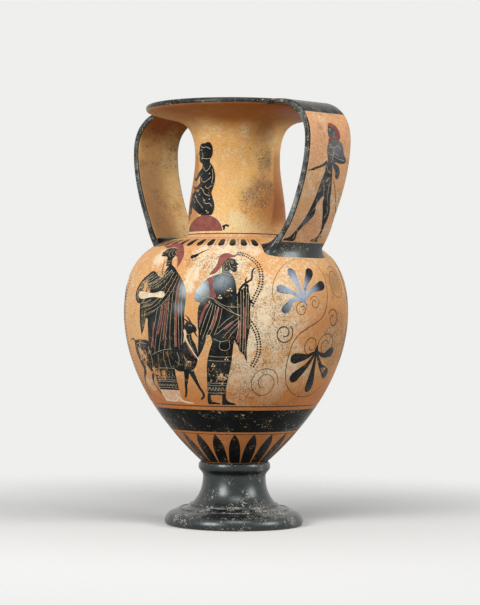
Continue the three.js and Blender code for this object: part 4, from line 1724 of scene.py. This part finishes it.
def draped_man(paint):
    """A bearded man in a long dress and cloak, with a branch in his hand."""
    paint.slip.shape(
        (44.9, 184.6, 46.9, 181, 48, 175, 48.3, 169.8, 49.4, 172.4, 51.4, 174, 53.2, 177.4)
        + (54.2, 172, 54.9, 165, 54.8, 156, 55, 149, 54.2, 141, 53.6, 133, 53.9, 122.2, 52, 127.6)
        + (50, 130.4, 48.9, 134.4, 47.2, 137.8, 46.6, 131, 45.8, 122, 44.2, 112, 42.7, 103)
        + (42.4, 98.4, 31.2, 98.4, 31.8, 108, 33, 122, 34.6, 130, 36.4, 136.6, 34.5, 141.4)
        + (32.6, 136, 30.7, 130, 28.1, 125.2, 28.7, 133, 29.3, 142, 29, 152, 29.5, 161)
        + (30.2, 163.6, 27.8, 165, 27.2, 169.2, 29.2, 174.8, 32.4, 179.6, 36.6, 182.8, 40.6, 184.6),
        corners=(3, 13, 17, 22, 23, 27, 31),
    )
    paint.slip.shape(
        (40.8, 192.6, 42.6, 194.6, 45.6, 195.2, 47.3, 194.2, 47.8, 192.7, 49.1, 190.9, 48.1, 190.3)
        + (48.3, 189.5, 48.2, 188.4, 48.1, 186.6, 47, 185.4, 45.6, 186.2, 44.7, 187.2, 44.5, 183.6)
        + (40.4, 183.4, 40.6, 187.4, 40.5, 190.4),
        corners=(13, 14),
    )
    paint.slip.shape(
        (30.6, 91.6, 30.3, 94, 30.9, 98.6, 32.9, 98.6, 33.2, 94.4, 35.6, 93, 38.2, 92.4, 38.4, 91.6),
        corners=(0, 2, 3, 7),
    )
    paint.slip.shape(
        (39.6, 91.4, 39.9, 94.4, 40, 98.6, 42.2, 98.6, 42.5, 95.6, 44.6, 93.4, 48, 92.3, 48.6, 91.4),
        corners=(0, 2, 3, 7),
    )
    paint.slip.line((54.4, 165.6, 55.4, 164.4, 56.8, 163.4), (2.2, 1.7, 0.8))
    paint.slip.line(
        (49.4, 172.6, 51.6, 176.6, 54, 179, 55.7, 180.8, 56, 184.8, 57, 187.8, 58, 188.6),
        (1.6, 1.6, 1.5, 1.4, 1.3, 1.1, 0.7),
    )
    paint.slip.line((52.8, 178, 52.7, 180.4, 53.6, 182), (1.2, 1.0, 0.5))
    paint.red.shape(
        (38.1, 194.6, 39, 197.4, 41.4, 198.9, 44.2, 198.7, 46, 197.7, 48.4, 198.2, 47.4, 196.6)
        + (44.6, 195.6, 42.6, 194.2, 41, 191.8, 40, 189.6, 38.8, 187, 37.2, 184.6, 33.9, 183.2)
        + (35.2, 186, 36.8, 188.8, 37.8, 191.6),
        corners=(5, 12, 13),
    )
    paint.red.shape(
        (32.6, 180.5, 34.8, 181.8, 36.1, 180.4, 36.3, 176.4, 37, 172.4, 38.2, 168.6, 36.9, 166.8)
        + (35.5, 169.4, 34.8, 173.4, 34.4, 177.4),
        corners=(0,),
    )
    paint.cut.lines(
        0.4,
        (44.8, 192.5, 45.6, 193, 46.4, 192.5),
        (45, 192.1, 45.7, 191.8, 46.3, 192.1),
        (46.4, 189.3, 47.4, 189.5),
        (43.8, 193.6, 44.3, 190.6, 45, 188.6, 46.2, 187.4),
        (42.2, 192.2, 43, 191.1, 42.4, 190),
        (41, 186.2, 43, 185.6, 44.4, 185.8),
        (41, 184.6, 43.6, 183.9, 45.4, 183),
    )
    hatched_row(paint.cut, (42, 192.6, 43.8, 193.8, 46.8, 193.8), 0.75, 1.1, 0.28)
    hatched_row(paint.cut, (41.4, 191.4, 41.4, 186.6), 0.9, 0.9, 0.28)
    paint.white.line((30.4, 177, 32, 179.6, 34.8, 182.2, 38.4, 184.2, 41, 185.4), (0.3, 0.7, 0.7, 0.6, 0.3))
    paint.cut.lines(
        0.34,
        (30.6, 164.6, 33.2, 167.8, 36.6, 166.6, 41.4, 162.4, 45.4, 161, 49.8, 161),
        (37.6, 164.6, 42, 160.4, 46, 157.2, 50.2, 155),
        (44.2, 160.4, 47.4, 156.4, 50.4, 154.6),
        (35.4, 164.4, 31.2, 154, 29.9, 146.4),
        (36.2, 163.6, 33, 153, 30.2, 141),
        (37, 162.6, 35, 152, 31.2, 138),
        (38.2, 162, 36.6, 151, 33, 139.4),
        (39.6, 161, 38.4, 152, 35.8, 143, 34.8, 140.6),
        (41.2, 160, 40.2, 152, 37.4, 141),
        (49.6, 153.6, 43.6, 147.6, 38.4, 141.6),
        (50, 151.6, 45.4, 145.4, 41.6, 139.2),
        (50.4, 149.8, 47, 144, 44.2, 138.4),
        (46.8, 155, 42.8, 150.8, 39.4, 146),
        (48.6, 168.6, 48.9, 158, 49.2, 146, 48.2, 138),
        (50.2, 172.4, 50.4, 160, 50.4, 146, 50.2, 132),
        (51.6, 173.4, 51.6, 160, 51.6, 146, 51.6, 129.4),
        (53, 175.4, 53, 162, 52.8, 148, 52.8, 126.6),
        (54, 171, 53.9, 158, 53.9, 146),
    )
    paint.cut.lines(
        0.32,
        (36.6, 138.6, 40.6, 136.6, 44.2, 137.8),
        (40.3, 136.6, 40.1, 131.6, 44.4, 131.2, 44.8, 137.6),
        (33.1, 123.4, 37.4, 122.8, 45.6, 123),
        (33.6, 126.4, 38, 125.8, 45.9, 126),
        (31.8, 107.2, 37, 106.8, 43.4, 107),
        (31.7, 105.6, 37, 105.2, 43.1, 105.4),
        (31.3, 100, 37, 99.8, 42.4, 100),
    )
    zigzag(paint.cut, 32, 101.6, 0.95, 2.2, 12)
    dotted_hem(paint.cut, 33.6, 113.2, 2.3, 0.6, 5)
    for across, height in ((45, 173), (40, 168), (43.2, 124.6), (36, 119.8)):
        rosette(paint.white, across, height)
    paint.red.lines(
        2.3,
        (34, 163, 31.8, 156.4, 30.4, 149.6),
        (39.6, 160.4, 37.8, 153, 35.4, 145),
        (46.6, 150.6, 44.6, 148, 42, 145.4),
        (52.2, 161, 52.1, 150, 52.1, 138.6),
        (49.6, 151, 49.6, 143, 49.2, 136),
    )


# %% Lay the body scenes
body_scene = Layers(body_face)
vine_dots = Painting(body_face, SLIP_LIFT)
woman(body_scene)
goat(body_scene)
body_scene.slip.line((22.2, 196.4, 24.2, 197.2, 26.2, 199, 30.8, 201.8), (3.4, 3.2, 1.4, 0.8))
body_scene.slip.dot(22.4, 196.4, 3.4)
body_scene.stand(-1, 188)
woman(body_scene)
for place in ((1, 0), (-1, -4), (1, 184), (-1, 186)):
    body_scene.stand(*place)
    draped_man(body_scene)
    vine_dots.stand(*place)
    dotted_pair(vine_dots, UPPER_VINE, 1.85, 1.35, 1.05)
    dotted_pair(vine_dots, LOWER_VINE, 1.85, 1.35, 1.05)
for place in ((1, 0), (-1, 188)):
    vine_dots.stand(*place)
    dotted_pair(vine_dots, OUTER_VINE, 2.4, 1.1, 0.8)
body_scene.lay("body_figures", figure_slip)
vine_dots.lay("body_vine_dots", figure_slip)

# %% [markdown]
# ### Scars
# Some places were rubbed to a pale skin: a long streak between the figures, another by the
# goat's hind legs and more of them at the back. Under the hem the painter laid a pale wash for the
# feet. All of it lies beneath the slip.

# %% Pale scars
SCAR_LIFT = 0.04 * MM
FEET_LIFT = 0.05 * MM
scars = Painting(body_face, SCAR_LIFT)
scars.strokes(
    ((28.8, 198.4, 27.6, 194, 26.2, 189.6), (0.8, 2.0, 1.0)),
    ((26, 188.6, 25, 183.6, 23.8, 177.6, 23, 173.4), (1.2, 3.6, 4.2, 2.6)),
    ((-12, 116, -8, 106, -4, 97, -2.6, 92), (0.6, 1.2, 1.2, 0.8)),
    ((132, 190, 137, 176, 141, 160), (1.0, 2.6, 1.0)),
    ((-60, 150, -66, 132), (2.2, 1.2)),
)
scars.lay("body_pale_scars", pale_wear, "fired_clay")
feet = Painting(body_face, FEET_LIFT)
for place in ((1, 0), (-1, 188)):
    feet.stand(*place)
    feet.shape((-3.8, 92.6, -4, 97, -4.2, 101.4, 12.2, 101.4, 12, 97, 12.6, 92.6), corners=(0, 2, 3, 5))
feet.lay("body_feet_wash", foot_wash, "fired_clay")

# %% [markdown]
# ### The neck picture
# A man sits on a low red rock, his arms and shins stretched out before him. The neck is a second
# wall with its own smaller radius, so the same layers are laid on it.

# %% Seated man


def seated_man(paint):
    """A seated bearded man who looks left."""
    paint.red.shape(
        (-31, 216.3, -26, 219.6, -18, 222.8, -8, 225.8, 2, 227.6, 12, 227.8, 20, 226.4, 26.4, 223.6)
        + (29.8, 220, 31, 216.3),
        corners=(0, 9),
    )
    paint.slip.shape(
        (-7.4, 266.4, -12, 267.6, -14.6, 269.6, -14.2, 272, -16, 273.4, -14.4, 275.6, -12.4, 278.8)
        + (-7, 281, -1, 281, 5.2, 281.8, 10.6, 280.4, 12.9, 276.6, 12, 272, 8.6, 269, 7.4, 265, -5, 265)
    )
    paint.slip.shape(
        (-6.4, 262.6, -4.4, 266.4, 6.4, 267, 12.4, 264.4, 16.8, 260, 18.7, 254, 17.2, 248.4)
        + (15.3, 244.4, 17.6, 240.4, 20.4, 235.8, 19.9, 231, 16.6, 227.8, 10, 226.8, 2.6, 227.6)
        + (-2.4, 231, -7, 236, -9, 241, -8, 246, -6.4, 250, -8.6, 256)
    )
    paint.slip.strokes(
        ((-4, 261, -12, 258.4, -19, 254.8, -26, 256.4), (4.6, 3.8, 2.6, 1.2)),
        ((0, 255, -7, 250, -15, 248, -25, 249.8), (4.6, 3.6, 2.6, 1.2)),
        ((6, 236, -8, 241, -21, 244.6), (11, 8.6, 5.2)),
        ((-21, 244.6, -23, 238, -20.4, 231.6), (5.2, 4.0, 2.2)),
        ((2, 232.6, -12, 235.6, -25, 238.4), (9, 6.4, 4.0)),
        ((-25, 238.4, -27.6, 232, -25.4, 225), (4.0, 3.2, 2.0)),
        ((-19.6, 231.6, -23.2, 229.8, -27, 229.4), (2.3, 2.1, 1.0)),
        ((31.4, 218.6, 34, 220.4, 38.8, 219.8), (2.6, 1.4, 1.6)),
        ((33.6, 220, 32.6, 216.9), (1.6, 1.2)),
    )
    paint.white.line(
        (14, 227.9, 21, 226.7, 26.6, 224.2, 29.6, 221.2, 31.2, 217.6),
        (0.4, 0.6, 0.8, 0.9, 0.6),
    )
    paint.white.line((31, 222.6, 32.4, 221, 34.4, 221.4), (1.4, 1.8, 0.8))
    paint.cut.lines(
        0.5,
        (-9, 270.4, -4, 270, 4, 269.6, 8, 269.8),
        (-10.6, 276, -9, 276.6, -7.4, 275.8),
        (-9.6, 279, -4, 278, 2, 278.2, 9, 276.4),
        (-7, 274.4, -5.6, 271.6, -8.6, 269.4),
        (-4, 263.6, 2, 260.6, 7, 262, 10, 265),
        (-7, 256, -1, 252.6, 6, 253.4, 12.4, 256),
        (-6, 248.6, 0, 247, 5, 243.6, 13.6, 242),
        (2, 241, 8, 236.4, 13, 236.6, 17, 234.2),
        (-14, 243.6, -9, 239.6, -2, 236.4, 4, 233),
        (12.6, 262, 14.8, 257, 14, 251.4),
        (3.6, 249.4, 8, 247.6, 13.4, 249.4),
    )
    for across, height in ((9, 258.6), (12.8, 239.6), (6, 239), (-4.4, 243.4), (9.8, 231)):
        paint.white.dot(across, height, 0.9)


neck_scene = Layers(neck_face)
for front in (0, 180):
    neck_scene.stand(1, front)
    seated_man(neck_scene)
    neck_scene.thin.line((114, 234.6, 117, 237, 121, 236.6, 119.6, 234.8), (0.5, 0.9, 0.8, 0.5))
    neck_scene.thin.line((112, 238.4, 115.4, 238.6, 117.4, 240.4), (0.4, 0.7, 0.4))
neck_scene.lay("neck_figures", figure_slip)

# %% [markdown]
# ### The handle pictures
# A strap's outer face is a wall too, but a flat one that bends in one direction. Its drawing plane
# goes across the strap in millimetres and down it from the lip.

# %% Strap face


class StrapFace:
    """The strap's outer face: a flat spot (across, down) becomes a place on the right handle."""

    def __init__(self):
        self.run = run_along(strap_line[2:])
        self.rows = (*np.array(strap_line[2:]).T, *strap_along[2:].T)

    def flat(self, across, down):
        return across * MM, down * MM

    def place(self, across, down, lift):
        x, z, ax, az = looked_up(down, self.run, self.rows)
        return round_axis(Vector((x - az * lift, across, z + ax * lift)), root_share(z))


# %% Striding man


def striding_man(paint):
    """A naked bearded man with a tail who strides left, one arm out and a staff behind him."""
    paint.slip.shape(
        (-2.6, 40, -3.4, 41.6, -2.7, 42.2, -2.8, 43.6, -1.6, 45.4, 0.4, 46.4, 0.4, 47.4, -2.4, 49)
        + (-3.2, 53, -2.4, 58, -1.2, 61.6, -2, 66, -2.8, 72, -4.8, 82, -5.6, 90, -6.8, 96, -8.6, 104)
        + (-11.4, 112, -13.6, 117.4, -15.8, 120.6, -19.4, 122, -19.2, 123.2, -15, 123.4, -10, 123)
        + (-10.2, 117.6, -8.2, 112.6, -5, 108, -1.6, 103, -1.2, 99, -2.4, 95, -0.8, 91, 2.2, 87.6)
        + (3.2, 92, 5.2, 97, 8, 104, 10, 111, 10.2, 117, 8, 120.6, 4.4, 122.4, 4.6, 123.2, 9, 123.4)
        + (13.4, 123, 12.4, 116, 12.4, 110, 13.4, 103, 12.4, 96.6, 10, 91, 8.4, 84, 6.4, 76, 4.6, 68)
        + (4.2, 64, 6.6, 62.8, 12, 63.4, 16.4, 62, 16.4, 60.4, 13.6, 56, 11.6, 50, 9, 47.6, 6.2, 46.4)
        + (5.6, 43, 4.6, 37, 0.6, 35.4, -1.8, 37),
        corners=(1, 20, 21, 39, 40),
    )
    paint.slip.shape(
        (4.4, 64, 8.6, 64.4, 11.6, 67.4, 12.4, 71, 11.2, 74.6, 9, 73.4, 8.2, 70, 6.4, 67.6)
    )
    paint.slip.line(
        (-1.6, 63, -6, 65.6, -10.4, 67.2, -13, 68.2, -16, 69.2, -19, 69.6),
        (3, 2, 1.6, 1.9, 1.2, 0.5),
    )
    paint.thin.line((8.4, 76, 13.6, 86.6, 19, 99.6), 0.6)
    paint.thin.line((-11.4, 35, -8.2, 40, -6, 46.4), 0.3)
    paint.thin.line((-19, 124.6, 0, 124.8, 19, 124.6), 0.55)
    paint.red.shape(
        (-2.6, 36.6, 0.2, 34.6, 4, 35.6, 7.4, 38.4, 9, 42, 8.6, 46, 6.4, 47.4, 4.4, 45)
        + (4.8, 41.6, 2.8, 38.6),
        corners=(0,),
    )
    paint.red.shape((2.6, 43.4, 1.2, 46.6, -1, 48.4, -2.4, 48, -1.6, 46, 0.6, 44.8))
    paint.cut.lines(
        0.4,
        (-1.8, 39.6, -0.8, 39, 0.2, 39.6),
        (-1.6, 40.4, -0.8, 40.8, 0, 40.4),
        (2.6, 41, 3.6, 42, 2.8, 43),
        (-1.6, 50.4, 2.4, 52.6, 6.6, 51, 10.4, 53),
        (-2.2, 56, 1.6, 57.6, 5.4, 56.6, 9, 58.6),
        (4.8, 58.6, 9.8, 60.2, 14.8, 61),
        (3.6, 52.4, 3.4, 58, 2.4, 63),
        (-1.2, 66, 1, 69.6, 3.8, 70.6),
        (-2.4, 76, 0.2, 81, 1.8, 87),
        (-3.6, 90, -2, 94, -4, 99),
        (5, 77, 5.6, 86, 8.6, 93),
        (8.4, 95, 10.6, 99, 9.6, 104),
        (-12.6, 117.6, -11.6, 119.4, -12, 121.6),
        (10.8, 117, 11.8, 119.4, 11.4, 121.6),
    )


strap_face = StrapFace()
for side, turn in SIDES.items():
    strap_scene = Layers(strap_face)
    strap_scene.stand(1, 0, turn)
    striding_man(strap_scene)
    strap_scene.lay(f"handle_{side}_figure", worn_slip)

# %% [markdown]
# ## Studio
# A pale floor that fades into a pale sky, one large soft light on each side of the camera, and one
# above. The two side lights give the black stem its two soft upright highlights.

# %% Floor
FLOOR_RADIUS = 1.6
FLOOR_SIDES = 96
FADE_FROM = 0.13
FADE_TO = 0.48
PALE = "EFEFED"
FLOOR_TONE = "A8A7A5"


def background_rays(w):
    """1 for the rays that show the background: from the camera, a reflection or through glass."""
    path = w.add("ShaderNodeLightPath").outputs
    return w.most(path["Is Camera Ray"], path["Is Glossy Ray"], path["Is Transmission Ray"])


def make_floor():
    """A round pale floor that fades into the pale sky, so that the pot keeps only its shadow."""
    bm = bmesh.new()
    bmesh.ops.create_circle(bm, cap_ends=True, cap_tris=False, segments=FLOOR_SIDES, radius=FLOOR_RADIUS)
    mesh = bpy.data.meshes.new("floor")
    bm.to_mesh(mesh)
    bm.free()
    floor = bpy.data.objects.new("floor", mesh)
    bpy.context.collection.objects.link(floor)
    material, w, shader = bare_material("floor_paint")
    seen = w.ramp(w.vector("LENGTH", w.place)["Value"], FADE_TO, FADE_FROM)
    tone = w.mix(background_rays(w), linear(FLOOR_TONE), linear(PALE))
    w.set(shader, Base_Color=tone, Alpha=seen, Roughness=0.9, Specular_IOR_Level=0.1)
    mesh.materials.append(material)


# %% Lights and world
AIM_HEIGHT = 0.16
FILL_STRENGTH = 0.22
# Each light's angle from the camera, and its distance, height, size and power.
SOFTBOXES = {
    "left_softbox": (-41, 1.2, 0.64, (0.5, 0.6), 12.2),
    "right_softbox": (66, 1.2, 0.66, (0.5, 0.5), 7.6),
    "top_softbox": (8, 0.75, 1.25, (0.6, 0.5), 5),
}


def soft_light(name, degrees, distance, height, size, power):
    """A rectangular soft light at an angle round the pot from the camera, looking at the belly."""
    data = bpy.data.lights.new(name, "AREA")
    data.shape = "RECTANGLE"
    data.size, data.size_y = size
    data.energy = power
    light = bpy.data.objects.new(name, data)
    turn = CAMERA_TURN + math.radians(degrees)
    light.location = (distance * math.sin(turn), -distance * math.cos(turn), height)
    aim = Vector((0, 0, AIM_HEIGHT)) - light.location
    light.rotation_euler = aim.to_track_quat("-Z", "Y").to_euler()
    bpy.context.collection.objects.link(light)


def make_world():
    """A plain sky that fills the shadows, seen pale wherever it is seen."""
    world = bpy.data.worlds.new("studio")
    bpy.context.scene.world = world
    world.use_nodes = True
    world.node_tree.nodes.clear()
    w = Wiring(world.node_tree)
    fill = w.add("ShaderNodeBackground", Color=linear("F2F3F5"), Strength=FILL_STRENGTH)
    seen = w.add("ShaderNodeBackground", Color=linear(PALE), Strength=1.0)
    choice = w.add("ShaderNodeMixShader")
    shaders = w.fill(choice, (background_rays(w), fill.outputs[0], seen.outputs[0]))
    w.add("ShaderNodeOutputWorld", Surface=shaders[0])


make_floor()
make_world()
for name, values in SOFTBOXES.items():
    soft_light(name, *values)
bpy.context.scene.view_settings.view_transform = "Standard"
